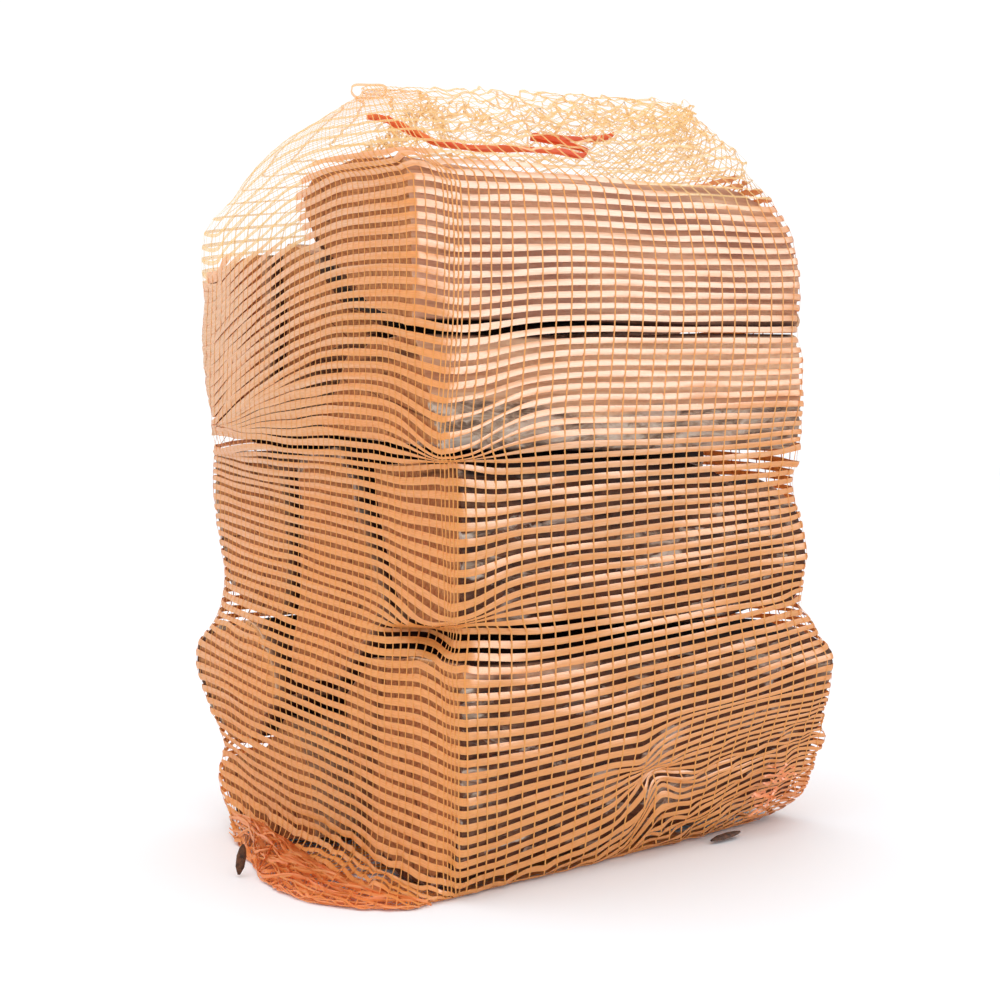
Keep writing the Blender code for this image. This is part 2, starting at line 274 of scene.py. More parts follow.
def makeWoodMaterial(name, colours):
    # Rings are stripes by distance from the pith, so they run along the split sides and round the
    # ends. Bark is brown with pale patches, and white where a log has more birch. Sides that another
    # log lies close to are darkened with painted shade.
    material, tree, shader = newMaterial(name, 0.72)
    pith = attributeOf(tree, "pithPlace", "Vector")
    distance = addNode(tree, "ShaderNodeVectorMath", ((0, pith),), operation="LENGTH").outputs["Value"]
    warp = placeNoise(tree, (5.0, 38.0, 38.0), 4.0)
    warped = maths(tree, "MULTIPLY_ADD", warp, 0.012, distance)
    wave = maths(tree, "SINE", maths(tree, "MULTIPLY", warped, 2 * math.pi / colours["ringWidth"]))
    rings = maths(tree, "MULTIPLY_ADD", wave, 0.5, 0.5)

    fibre = placeNoise(tree, (9.0, 260.0, 260.0), 6.0, 0.7)
    streak = placeNoise(tree, (5.0, 90.0, 90.0), 5.0, 0.6)
    patch = placeNoise(tree, (9.0, 20.0, 20.0), 3.0)
    tone = attributeOf(tree, "tone")

    side = mixColours(tree, tone, colours["pale"], colours["pink"])
    side = mixColours(tree, ramp(tree, streak, ((0.35, black), (0.7, white))), side, colours["warm"])
    ringShade = ramp(tree, rings, (
        (0.0, white), (0.75, (0.97, 0.94, 0.9, 1)), (1.0, (0.78, 0.66, 0.55, 1))))
    side = mixColours(tree, 0.55, side, ringShade, "MULTIPLY")
    dark = maths(tree, "MULTIPLY", ramp(tree, patch, ((0.5, black), (0.62, white))), tone)
    side = mixColours(tree, dark, side, colours["mauve"])
    fibreShade = ramp(tree, fibre, (
        (0.3, (0.62, 0.5, 0.4, 1)), (0.48, (0.95, 0.92, 0.88, 1)), (0.7, white)))
    side = mixColours(tree, 0.7, side, fibreShade, "MULTIPLY")

    endGrain = placeNoise(tree, (30.0, 420.0, 420.0), 3.0)
    end = mixColours(tree, patch, colours["endPale"], colours["endDark"])
    end = mixColours(tree, 0.6, end, ringShade, "MULTIPLY")
    grainShade = ramp(tree, endGrain, ((0.3, (0.6, 0.5, 0.42, 1)), (0.6, white)))
    end = mixColours(tree, 0.5, end, grainShade, "MULTIPLY")
    wood = mixColours(tree, attributeOf(tree, "sawn"), side, end)
    wood = mixColours(tree, attributeOf(tree, "crack"), wood, colours["crack"])

    roughBark = placeNoise(tree, (60.0, 170.0, 170.0), 6.0, 0.7, 0.4)
    birch = placeNoise(tree, (36.0, 130.0, 130.0), 5.0, 0.65, 0.8)
    brown = ramp(tree, roughBark, (
        (0.34, colours["barkDark"]), (0.52, colours["barkBrown"]), (0.72, colours["barkWorn"])))
    pale = ramp(tree, birch, (
        (0.36, colours["birchDark"]), (0.47, colours["birchGrey"]), (0.58, colours["birchPale"])))
    patches = placeNoise(tree, (24.0, 70.0, 70.0), 4.0, 0.6, 0.6)
    spots = maths(tree, "MULTIPLY", maths(tree, "SUBTRACT", patches, 0.64), 14.0)
    paleShare = maths(tree, "MULTIPLY_ADD", attributeOf(tree, "birch"), 5.0, spots, clamp=True)
    bark = mixColours(tree, paleShare, brown, pale)
    colour = mixColours(tree, attributeOf(tree, "bark"), wood, bark)
    # Painted shade: sides where another log lies close are darkened, as the shade between logs would be.
    paintedShade = mixColours(tree, 0.97, colour, colours["paintedShade"], "MULTIPLY")
    colour = mixColours(tree, attributeOf(tree, "paintedGapShade"), colour, paintedShade)
    tree.links.new(colour, shader.inputs["Base Color"])

    height = maths(tree, "MULTIPLY_ADD", fibre, 0.7, maths(tree, "MULTIPLY", roughBark, 0.5))
    height = maths(tree, "MULTIPLY_ADD", rings, 0.12, height)
    addBump(tree, shader, height, 0.55, 0.0012)
    shader.inputs["Specular IOR Level"].default_value = 0.25
    return material


netColours = {
    # film is the pale colour of a painted sheen, deep the tape's own colour
    "film": linear(255, 216, 176),
    "deep": linear(254, 180, 98),
    # painted light: slack film's paler colour, as film lit from behind looks
    "backlitSlackFilm": linear(253, 214, 142),
    "thread": linear(253, 188, 106),
    "bunched": linear(253, 160, 92),
    "hem": linear(244, 92, 36),
    "through": linear(255, 184, 100),
    "slackThrough": linear(255, 238, 196),
    "glow": 0.3,
    "alpha": 0.96,
    "slackAlpha": 0.5,
    # painted sheen: these set where the film turns from deep to pale
    "paintedSheenWay": (-0.15, 0.35, 1.0),    # the way in which the film turns from deep to pale,
    "over": 0.2,                    # over how many metres,
    "from": -1.25,                  # and where it starts
    "ends": 0.45,           # how much deeper it is towards both ends
    "sawnSide": -0.099,     # on the near sawn ends, beyond this x,
    "sawnSharp": 77.0,      # with an edge as sharp as this,
    "sawnPaler": 0.03,      # it is paler after this y and deeper before it
    "clouds": 1.6,          # how much tapes differ
}


def makeNetMaterial(name, colours, film, deep, roughness, gloss):
    # Thin stretched film: fine lines along each tape, and light that comes through it. A painted sheen
    # makes it pale higher up; it is deeper low down, towards the ends and on the near sawn ends, and
    # differs from tape to tape; slack film is paler, a painted glow of light from behind, and lets more
    # through; bunched film has a colour of its own.
    material, tree, shader = newMaterial(name, roughness)
    weave = attributeOf(tree, "weavePlace", "Vector")
    lines = noiseOn(tree, weave, (150.0, 8.0, 1.0), 3.0)
    cloud = noiseOn(tree, weave, (7.0, 1.3, 1.0), 2.0)
    place = addNode(tree, "ShaderNodeTexCoord").outputs["Object"]
    parts = addNode(tree, "ShaderNodeSeparateXYZ", (("Vector", place),)).outputs
    # Painted sheen: the film is paler higher up and towards the middle, deeper towards both ends and on
    # the near sawn ends.
    inputs = ((0, place), (1, colours["paintedSheenWay"]))
    height = addNode(tree, "ShaderNodeVectorMath", inputs, operation="DOT_PRODUCT").outputs["Value"]
    ends = maths(tree, "MULTIPLY", maths(tree, "ABSOLUTE", parts["X"]), colours["ends"])
    height = maths(tree, "SUBTRACT", height, ends)
    sawnSide = maths(tree, "SUBTRACT", colours["sawnSide"], parts["X"])
    sawnSide = maths(tree, "MULTIPLY", sawnSide, colours["sawnSharp"], clamp=True)
    beyond = maths(tree, "SUBTRACT", parts["Y"], colours["sawnPaler"])
    height = maths(tree, "MULTIPLY_ADD", sawnSide, beyond, height)
    differs = maths(tree, "MULTIPLY_ADD", cloud, colours["clouds"], colours["from"])
    share = maths(tree, "ADD", maths(tree, "MULTIPLY", height, 1 / colours["over"]), differs, clamp=True)
    lineShade = ramp(tree, lines, ((0.34, (0.6, 0.46, 0.34, 1)), (0.6, white)))
    colour = mixColours(tree, 0.4, mixColours(tree, share, deep, film), lineShade, "MULTIPLY")
    slack = attributeOf(tree, "slack")
    # Painted light: slack tapes are paler, as film lit from behind looks.
    colour = mixColours(tree, slack, colour, colours["backlitSlackFilm"])
    colour = mixColours(tree, attributeOf(tree, "bunched"), colour, colours["bunched"])
    tree.links.new(colour, shader.inputs["Base Color"])
    shader.inputs["Specular IOR Level"].default_value = gloss
    addBump(tree, shader, lines, 0.2, 0.0003)
    through = mixColours(tree, slack, colours["through"], colours["slackThrough"])
    glow = addNode(tree, "ShaderNodeBsdfTranslucent", (("Color", through),)).outputs[0]
    lit = mixShaders(tree, colours["glow"], shader.outputs[0], glow)
    alpha = maths(tree, "MULTIPLY_ADD", slack, colours["slackAlpha"] - colours["alpha"], colours["alpha"])
    covered = mixShaders(tree, alpha, addNode(tree, "ShaderNodeBsdfTransparent").outputs[0], lit)
    tree.links.new(covered, tree.nodes["Material Output"].inputs["Surface"])
    return material


woodMaterial = makeWoodMaterial("splitWood", woodColours)
netMaterial, threadMaterial, hemMaterial = [
    makeNetMaterial(name, netColours, netColours[film], netColours[deep], roughness, gloss)
    for name, film, deep, roughness, gloss in (
        ("netFilm", "film", "deep", 0.34, 1.0), ("netThread", "thread", "thread", 0.6, 0.3),
        ("netHem", "hem", "hem", 0.5, 0.4))]
print("materials made")


# Logs

logShape = {
    "length": 245.0,        # the logs' usual length, for marks along them
    "around": 256,          # points round a log
    "along": 76,            # rows from one sawn end to the other
    "capRings": 15,         # rows on each sawn end
    "barkThick": 0.085,     # the bark's share of a sawn end, seen from its rim
    "splitDepth": 0.9,      # relief of split fibres
    "sag": 1.4,             # slow unevenness of a split face
    "barkDepth": 1.5,       # depth of bark cracks
    "margin": 1.6,          # how far from the sawn ends the outline is cut from the solid
    "looksOut": 14,         # how far outside its side a log looks for the next one
}

# pith is the tree's middle (y, z); bark is (from, to) in degrees round the log's own middle,
# from +y towards +z; turn is by how many degrees the bark lies otherwise at the near end; birch
# is how white the bark is, tone how dark the split sides are; press is (middle and half width in
# degrees, how far the side stands out where another log faces it or, below 0, how far it is
# pressed in, from where and in full from where, and to where along the log)
logStyle = {
    "log_bottom_front": dict(pith=(62, 118), bark=((106, 268),), birch=0.3, tone=0.5, turn=34,
                             press=((95, 60, 6, 60, 160, 250),)),
    "log_bottom_back": dict(pith=(150, 78), bark=((250, 335),), birch=0.1, tone=0.3),
    "log_lower_back": dict(pith=(188, 84), bark=((-62, 75),), birch=0.2, tone=0.4,
                           press=((145, 50, 6, -2, -1, 400),)),
    "log_middle_front": dict(pith=(66, 196), bark=((128, 246),), birch=0.25, tone=0.6,
                             press=((90, 60, 8, 10, 50, 215), (-100, 60, 5, 60, 160, 225))),
    "log_middle_centre": dict(pith=(104, 60), bark=((40, 130),), birch=0.5, tone=0.35,
                              press=((160, 50, -3, -2, -1, 400), (80, 50, 8, 10, 50, 400))),
    "log_middle_back": dict(pith=(140, 170), bark=((-58, 48),), birch=0.6, tone=0.55,
                            press=((85, 55, 3, 50, 100, 400),)),
    "log_upper_front": dict(pith=(96, 252), bark=((183, 222),), birch=1.0, tone=0.0,
                            press=((105, 70, 3.5, 90, 190, 400),)),
    "log_upper_back": dict(pith=(150, 262), bark=((-60, 62),), birch=0.3, tone=0.4,
                           press=((180, 50, 4, -2, -1, 400), (-95, 60, 9.5, 8, 36, 400))),
    "log_top_wedge": dict(pith=(160, 300), bark=((84, 192),), birch=0.0, tone=0.8,
                          press=((118, 75, -8, -2, -1, 400), (-5, 62, 13, -2, -1, 400))),
    "log_top_front": dict(pith=(70, 270), bark=((-78, -2),), birch=0.0, tone=0.7,
                          press=((-115, 60, 5, 90, 190, 400),)),
}


def cutOutline(corners, x, angles):
    # Cuts the triangles at a plane across the log. From the cut's middle, each direction's
    # straight line meets the cut at one distance.
    side = corners[:, :, 0] - x
    crossed = (side.min(axis=1) < 0) & (side.max(axis=1) > 0)
    here, hereSide = corners[crossed], side[crossed]
    there, thereSide = np.roll(here, -1, axis=1), np.roll(hereSide, -1, axis=1)
    difference = hereSide - thereSide
    share = hereSide / np.where(difference == 0, 1.0, difference)
    cut = (here + (there - here) * share[:, :, None])[:, :, 1:]
    ends = cut[hereSide * thereSide < 0].reshape(-1, 2, 2)
    lengths = np.linalg.norm(ends[:, 1] - ends[:, 0], axis=1)
    centre = (ends.mean(axis=1) * lengths[:, None]).sum(axis=0) / lengths.sum()
    start, step = ends[:, 0] - centre, ends[:, 1] - ends[:, 0]
    way = np.column_stack((np.cos(angles), np.sin(angles)))
    turn = way[:, :1] * step[:, 1] - way[:, 1:] * step[:, 0]
    turn = np.where(np.abs(turn) < 1e-9, 1e-9, turn)
    reach = (start[:, 0] * step[:, 1] - start[:, 1] * step[:, 0]) / turn
    along = (start[:, 0] * way[:, 1:] - start[:, 1] * way[:, :1]) / turn
    meets = (reach > 0) & (along > -1e-4) & (along < 1.0001)
    distance = np.where(meets, reach, 0.0).max(axis=1)
    return centre, centre + way * distance[:, None]


def evenRing(points, count, start=0.0, sides=((0, 1), (0, 1))):
    # The same closed line with count points, the first one start of the way round. The steps are
    # even, or as close together on each side as sides says.
    closed, travelled = roundTheRing(points)
    wanted = (np.interp(np.arange(count) / count, *sides) + start) % 1.0 * travelled[-1]
    return placesAt(wanted, travelled, closed)


def endPlane(corners, sign):
    # The plane x = a + b y + c z through a sawn end, from the triangles there that face along x.
    across = np.cross(corners[:, 1] - corners[:, 0], corners[:, 2] - corners[:, 0])
    size = np.linalg.norm(across, axis=1)
    halfWay = 120.0
    beyond = (corners[:, :, 0].mean(axis=1) - halfWay) * sign > 0
    flat = corners[beyond & (across[:, 0] * sign > 0.97 * size) & (size > 1.0)].reshape(-1, 3)
    table = np.column_stack((np.ones(len(flat)), flat[:, 1:]))
    return np.linalg.lstsq(table, flat[:, 0], rcond=None)[0]


def onPlane(plane, points):
    # The plane's x at each place's y and z.
    return plane[0] + points[..., -2] * plane[1] + points[..., -1] * plane[2]


def readLog(name, shape):
    # Even outlines of the log at every row, its end planes and its middle line.
    corners = solidTriangles(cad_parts[name])
    near, far = endPlane(corners, -1), endPlane(corners, 1)
    angles = np.linspace(0, 2 * math.pi, 900, endpoint=False)
    nearMost = onPlane(near, corners.reshape(-1, 3)[:, 1:]).max() + shape["margin"]
    farMost = onPlane(far, corners.reshape(-1, 3)[:, 1:]).min() - shape["margin"]
    centres, outlines = [], []
    for fraction in np.linspace(0, 1, shape["along"]):
        centre, outline = cutOutline(corners, nearMost + (farMost - nearMost) * fraction + 0.013, angles)
        centres.append(centre)
        outlines.append(evenRing(outline, shape["around"]))
    return {"near": near, "far": far, "centres": np.array(centres), "outlines": np.array(outlines)}


def betweenEnds(log, outline, fraction, ragged=0.0):
    # Each row's x, a share of the way from one sawn plane to the other, less a ragged edge.
    near, far = onPlane(log["near"], outline), onPlane(log["far"], outline)
    x = near + ragged + (far - near - 2 * ragged) * fraction
    return np.concatenate((x[..., None], outline), axis=-1)


def pressedSide(log, style, shape, seed):
    # The outline at each row, pressed in by fibre relief or by bark cracks. With it come how much
    # bark each place has and how well another log covers it.
    outline, centre = log["outlines"], log["centres"][:, None]
    rows, count = outline.shape[:2]
    fraction = np.linspace(0, 1, rows)[:, None]
    tangent = alongRings(outline)
    outward = np.stack((tangent[..., 1], -tangent[..., 0]), axis=-1)
    perimeter = np.linalg.norm(np.diff(outline[0], axis=0), axis=1).sum()
    place = np.arange(count)[None] / count
    along = fraction * shape["length"]

    def relief(width, run, shift):
        cells = max(3, round(perimeter / width))
        bend = 0.6 * latticeNoise(place * 5, along / 70.0, seed + 50, 5)
        return latticeNoise((place * cells + bend) % cells, along / run, seed + shift, cells)

    def awayFrom(middle):
        return np.abs((angle - middle + 180) % 360 - 180)

    angle = np.degrees(np.arctan2(outline[..., 1] - centre[..., 1], outline[..., 0] - centre[..., 0]))
    angle = angle - style.get("turn", 0) * (1 - easeStep(60, 130, along))
    bark = np.zeros((rows, count))
    for start, end in style["bark"]:
        half = 0.5 * (end - start)
        away = awayFrom(0.5 * (start + end)) + 7 * relief(30, 50, 1) + 3 * relief(9, 20, 2)
        bark = np.maximum(bark, easeStep(half + 1.5, half - 1.5, away))
    ridges = (np.abs(relief(11, 90, 3)) * 0.9 + np.abs(relief(5.5, 60, 4)) * 0.6
              + np.abs(relief(2.6, 30, 5)) * 0.4)
    split = shape["splitDepth"] * ridges + shape["sag"] * (0.5 + 0.5 * relief(45, 80, 6))
    plates = np.abs(relief(8, 16, 7)) * 0.7 + np.abs(relief(4, 7, 8)) * 0.5
    cracked = shape["barkDepth"] * (1 - easeStep(0.1, 0.45, plates)) + 0.3 * np.abs(relief(3, 5, 9))
    outside = betweenEnds(log, outline, fraction)
    outside[..., 1:] += outward * shape["looksOut"]
    room = sampleField(field, fieldPlan, outside)[..., 0]
    covered = easeStep(12.0, 6.0, room)
    pressed = (split * (1 - bark) + cracked * bark) * (1 - 0.85 * covered) + 0.2
    for middle, half, most, start, end, last in style.get("press", ()):
        facing = easeStep(13.0, 9.0, room) if most > 0 else 1
        lengthwise = easeStep(start, end, along) * easeStep(last, last - 40, along)
        pressed = pressed - most * easeStep(half, half * 0.5, awayFrom(middle)) * lengthwise * facing
    side = outline - outward * pressed[..., None]
    ragged = 0.35 * np.abs(relief(3.0, 9, 10)[:1])
    return betweenEnds(log, side, fraction, ragged), bark, covered


def sawnEnd(rim, plane, sign, shape, seed):
    # Rings from the rim to its middle, closest at the rim and at the bark's inner edge. Each
    # lies on the sawn plane, with saw marks.
    thick = shape["barkThick"]
    inside = np.linspace(0.95 - thick, 0.02, shape["capRings"] - 3)
    shrink = np.concatenate(((0.985, 1 - thick, 0.985 - thick), inside))
    middle = rim.mean(axis=0)
    flat = middle + shrink[:, None, None] * (rim - middle)
    saw = 0.18 * latticeNoise(flat[..., 0] / 2.2, flat[..., 1] / 30.0, seed)
    saw += 0.25 * latticeNoise(flat[..., 0] / 9.0, flat[..., 1] / 9.0, seed + 10)
    x = onPlane(plane, flat) + sign * (saw * easeStep(1.0, 0.9, shrink)[:, None] - 0.1)
    return np.concatenate((x[..., None], flat), axis=-1)


def logFaces(rows, count):
    # Squares between rows of points, and a fan at each end to a point of its own.
    index = np.arange(rows * count).reshape(rows, count)
    turned = np.roll(index, -1, axis=1)
    quads = np.stack((index[:-1], turned[:-1], turned[1:], index[1:]), axis=-1).reshape(-1, 4)
    nearFan = np.column_stack((turned[0], index[0], np.full(count, rows * count)))
    farFan = np.column_stack((index[-1], turned[-1], np.full(count, rows * count + 1)))
    return quads, nearFan, farFan


def woodMarks(points, bark, covered, style, shape, seed):
    # What the wood's material reads at each point: sawn, bark, cracks from the pith, painted shade where
    # another log lies close, and so on.
    rows, count = bark.shape
    caps, length = shape["capRings"], shape["length"]
    along = np.linspace(0, 1, rows)[:, None] * length
    sawn, barkAll, paintedGapShade = np.zeros((3, rows + 2 * caps, count))
    sawn[:caps], sawn[-caps:] = 1, 1
    barkAll[caps:-caps] = bark
    rims = np.array((1.0, 1.0, 0.0))[:, None]
    barkAll[caps - 3:caps], barkAll[-caps:3 - caps] = rims[::-1] * bark[0], rims * bark[-1]
    # Painted shade on the sides that another log lies close to, fading in over 6 mm from each sawn end.
    paintedGapShade[caps:-caps] = covered * easeStep(0.0, 6.0, along) * easeStep(length, length - 6, along)
    away = points[:, 1:] - np.array(style["pith"])
    direction = np.arctan2(away[:, 1], away[:, 0])
    spokes = np.abs(latticeNoise(direction * 4.3 + 60, np.full(len(points), 3.5), seed + 40))
    isSawn = np.append(sawn.ravel(), (1, 1))
    crack = easeStep(0.05, 0.015, spokes) * easeStep(6, 18, np.linalg.norm(away, axis=1)) * isSawn * 0.75
    return (
        ("sawn", "FLOAT", isSawn),
        ("bark", "FLOAT", np.append(barkAll.ravel(), (0, 0))),
        ("birch", "FLOAT", np.full(len(points), style["birch"])),
        ("tone", "FLOAT", np.full(len(points), style["tone"])),
        ("crack", "FLOAT", crack),
        ("paintedGapShade", "FLOAT", np.append(paintedGapShade.ravel(), (0, 0))),
        ("pithPlace", "FLOAT_VECTOR", np.column_stack((np.zeros(len(points)), away)) * mm),
    )


def buildLog(name, log, style, shape, seed):
    # A log's rows from the middle of its near sawn end, along its side, to the middle of the far one.
    side, bark, covered = pressedSide(log, style, shape, seed)
    nearCap = sawnEnd(side[0, :, 1:], log["near"], -1, shape, seed + 20)[::-1]
    farCap = sawnEnd(side[-1, :, 1:], log["far"], 1, shape, seed + 19)
    grid = np.concatenate((nearCap, side, farCap))
    poles = np.array((nearCap[0].mean(axis=0), farCap[-1].mean(axis=0)))
    points = np.concatenate((grid.reshape(-1, 3), poles))
    marks = woodMarks(points, bark, covered, style, shape, seed)
    item = makePiece("wood_" + name, points, logFaces(*grid.shape[:2]), woodMaterial, marks)
    item.data.set_sharp_from_angle(angle=math.radians(38))
    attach(item, "root")
    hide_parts(name)


logs = {name: readLog(name, logShape) for name in logNames}


# How far any place is from the nearest log

fieldPlan = {
    "low": (-66.0, -20.0, -6.0),
    "high": (276.0, 250.0, 414.0),
    "step": 3.0,
    "reach": 15.0,              # it isn't needed further away than this
    "stations": (-5.0, 255.0),  # where along x the logs' outlines start, and how far they go on
}


def outsideLog(log, x, y, z, plan):
    # How far outside the log's outline a place is, measured square to it, and how far past its
    # sawn ends, joined to one distance. The outline is read at each degree round its middle.
    outline, centre = log["outlines"], log["centres"]
    start, length = plan["stations"]
    station = np.round(np.clip((x - start) / length, 0, 1) * (len(centre) - 1)).astype(int)
    degrees = np.linspace(-math.pi, math.pi, 361)
    radius = np.array([np.interp(degrees, *sortedPolar(*pair)) for pair in zip(outline, centre)])
    slope = np.gradient(radius, 2 * math.pi / 360, axis=1)
    lean = radius / np.sqrt(radius ** 2 + slope ** 2)
    offsetY, offsetZ = y - centre[station, 0], z - centre[station, 1]
    turn = (np.arctan2(offsetZ, offsetY) + math.pi) / (2 * math.pi) * 360
    cell = np.clip(np.round(turn).astype(int), 0, 360)
    outside = (np.hypot(offsetY, offsetZ) - radius[station, cell]) * lean[station, cell]
    flat = np.stack((y, z), axis=-1)
    past = np.maximum(onPlane(log["near"], flat) - x, x - onPlane(log["far"], flat))
    return np.where((outside > 0) & (past > 0), np.hypot(outside, past), np.maximum(outside, past))


def distanceField(plan, logs):
    # The smallest distance over all logs at each place of a lattice, and its slopes.
    low, high, step = np.array(plan["low"]), np.array(plan["high"]), plan["step"]
    axes = [np.arange(low[i], high[i], step) for i in range(3)]
    field = np.full([len(axis) for axis in axes], plan["reach"])
    for log in logs.values():
        points = log["outlines"].reshape(-1, 2)
        nearest = onPlane(log["near"], points).min() - plan["reach"]
        furthest = onPlane(log["far"], points).max() + plan["reach"]
        lowest = np.array((nearest, *(points.min(axis=0) - plan["reach"])))
        highest = np.array((furthest, *(points.max(axis=0) + plan["reach"])))
        first = np.maximum(((lowest - low) / step).astype(int), 0)
        last = np.minimum(((highest - low) / step).astype(int) + 1, field.shape)
        x, y, z = np.meshgrid(*[axes[i][first[i]:last[i]] for i in range(3)], indexing="ij")
        part = field[first[0]:last[0], first[1]:last[1], first[2]:last[2]]
        np.minimum(part, outsideLog(log, x, y, z, plan), out=part)
    slopes = np.stack(np.gradient(field, step), axis=-1)
    return np.concatenate((field[..., None], slopes), axis=-1)


def sortedPolar(outline, centre):
    # Directions and distances of an outline's points from its middle, in order of direction, with
    # a few repeated at both ends.
    away = outline - centre
    direction, distance = np.arctan2(away[:, 1], away[:, 0]), np.hypot(away[:, 0], away[:, 1])
    order = np.argsort(direction)
    direction, distance = direction[order], distance[order]
    direction = np.concatenate((direction[-3:] - 2 * math.pi, direction, direction[:3] + 2 * math.pi))
    return direction, np.concatenate((distance[-3:], distance, distance[:3]))


def sampleField(field, plan, places):
    # Blends the eight lattice values round each place: distance and its slopes.
    grid = (places - np.array(plan["low"])) / plan["step"]
    grid = np.clip(grid, 0, np.array(field.shape[:3]) - 1.001)
    cell = grid.astype(int)
    share = grid - cell
    total = 0.0
    for dx, dy, dz in np.ndindex(2, 2, 2):
        weight = (np.abs(1 - dx - share[..., 0]) * np.abs(1 - dy - share[..., 1])
                  * np.abs(1 - dz - share[..., 2]))
        values = field[cell[..., 0] + dx, cell[..., 1] + dy, cell[..., 2] + dz]
        total = total + values * weight[..., None]
    return total


field = distanceField(fieldPlan, logs)
print("distance field made")

for number, name in enumerate(logNames):
    buildLog(name, logs[name], logStyle[name], logShape, 100 * number + 7)
print("logs made")


# Net

netShape = {
    "columns": 270,             # places round the net, two for each thread
    # share of the columns, and of the way round: close together at the near upright edge
    "sides": ((0, 0.018, 0.05, 0.222, 0.433, 0.667, 0.95, 0.982, 1),
              (0, 0.006, 0.034, 0.263, 0.5, 0.763, 0.966, 0.994, 1)),
    # directions of a belt's straights in each quarter, in degrees: close together where it is flat
    "belt": (-12, -8, -5, -2.5, 0, 2.5, 5, 8, 12, 20, 30, 40, 50, 60, 70),
    "pitch": 5.75,              # from tape to tape
    "firstHeight": 2.6,
    "bodyRows": 61,             # tapes round the logs,
    "lowerRows": 32,            # of which these are the lower piece
    "baseRows": 30,             # tapes under the logs, gathered towards the tail,
    "coarseRows": 17,           # of which these have fewer points
    "threadsFrom": 6,           # the row where the threads start
    "clearance": 1.3,
    "tapeShare": 0.56,          # a tape's width, as a share of the way to the next tape
    "tapeWidest": 3.9,
    "tapeRise": 0.25,
    "threadWidth": 0.9,
    "startTowards": (-118.0, -112.0),   # from the stack's middle to the near upright edge
    "middle": (118.0, 112.0),
    "gather": (-26.0, 62.0),    # where the net is gathered under the tail,
    "gathered": 0.93,           # and how much of the way there its first ring is
    "softRounds": 14,           # rounds of softening above the logs
    "rounds": 150,              # rounds of relaxing, in each of which
    "pullRound": 0.8,           # tapes pull as strongly as this,
    "pullUp": 0.4,              # and threads as strongly as this;
    "straighten": 0.12,         # threads straighten,
    "smooth": 0.06,             # tapes smooth out,
    "restore": 0.2,             # and held places go back towards their first shape
}
crownRings = (   # height, x from, x to, y from, y to, corner radius
    (352.5, -14, 243, 9, 214, 30), (358.5, -14, 240, 10, 200, 30), (364.0, -14, 237, 17, 186, 26),
    (369.5, -13, 234, 25, 176, 22), (374.5, -12, 232, 30, 158, 18), (379.0, -11, 230, 34, 140, 15),
    (383.0, -9, 228, 41, 118, 12), (386.5, -7, 227, 47, 104, 10), (389.5, -4, 225, 53, 95, 8),
    (392.0, -1, 223, 60, 87, 6), (393.5, 2, 221, 67, 80, 4),
)
crownRise = 10.0                # how much higher the crown's far end lies
crownFrom, crownLength = -14, 260
# height and y of the back's shoulder, which stands off the logs, and the x where it ends
shoulder = ((292, 229), (318, 234), (339, 234.5), (352, 214))
shoulderEnds = (-6, 222)
# x and y round the tail on the floor
tailOutline = ((-20, 4), (-38, 20), (-50, 44), (-51, 71), (-46, 95), (-24, 110))
tailHeight = 18.0

# How many tapes the net is pulled up (+) or down (-) at a tape's number: at the far end of the
# near side, at the far corner of the near sawn ends, high and low, and over the tail
pulls = {
    "farEnd": ((-30, 0), (-17, 17.3), (8, 4.2), (20, 2.2), (41, 0)),
    "backHigh": ((37, 0), (45, -8.0), (60, -8.2), (72, -3)),
    "backLow": ((-30, 0), (-8, 5.0), (3, 5.2), (10, 5.0), (20, 4.2), (30, 2.6), (37, 0)),
    "tail": ((-30, 0), (-12, 9), (-8, 7.5), (1.2, 0)),
}
# Where tapes run together: x, y, height, reach to the sides, up and down, share, and how far in
pinches = (
    (0, 0, 209.5, 33, 36, 8, 0.92, 5.0),
    (0, 0, 133.5, 28, 24, 9, 0.88, 3.0),
    (-3, 30, 124, 24, 20, 8, 0.85, 5.0),
    (127, -1, 47, 22, 14, 26, 0.7, 2.0),
)
# Where tapes stand apart: x, y, height, reach to the sides and up, and how far they move
openings = (
    (-6, 212, 212.5, 33, 6, 7.0),
    (-6, 214, 42, 20, 7, 3.2),
    (240, 2, 205, 24, 9, 3.6),
    (240, 2, 122, 12, 8, 2.4),
)
# Where tapes lie flat and wide, or are drawn into strands: x, y, height, reach along x, y and z,
# and the change of width
spread = (
    (-4, 206, 264, 22, 48, 56, 0.72),
    (-4, 120, 232, 22, 36, 17, 0.5),
    (14, 0, 226, 24, 20, 17, -0.5),
    (120, 0, 285, 150, 24, 90, -0.13),
    (-40, 60, 8, 34, 90, 16, -0.2),
)


def wrapRound(points, distance, radians):
    # A tight belt: each straight touches the points in its own direction, and its corners are
    # where neighbouring straights cross.
    normals = np.column_stack((np.cos(radians), np.sin(radians)))
    reach = (normals @ points.T).max(axis=1) + distance
    nextNormals, nextReach = np.roll(normals, -1, axis=0), np.roll(reach, -1)
    turn = normals[:, 0] * nextNormals[:, 1] - normals[:, 1] * nextNormals[:, 0]
    x = (reach * nextNormals[:, 1] - nextReach * normals[:, 1]) / turn
    y = (nextReach * normals[:, 0] - reach * nextNormals[:, 0]) / turn
    return np.column_stack((x, y))


def startShare(ring, middle, towards):
    # How far round the ring lies the place that is seen from the middle in the direction towards.
    closed, travelled = roundTheRing(ring)
    fine = np.linspace(0, travelled[-1], 2000, endpoint=False)
    away = placesAt(fine, travelled, closed) - middle
    return fine[np.argmax(unit(away) @ unit(towards))] / travelled[-1]


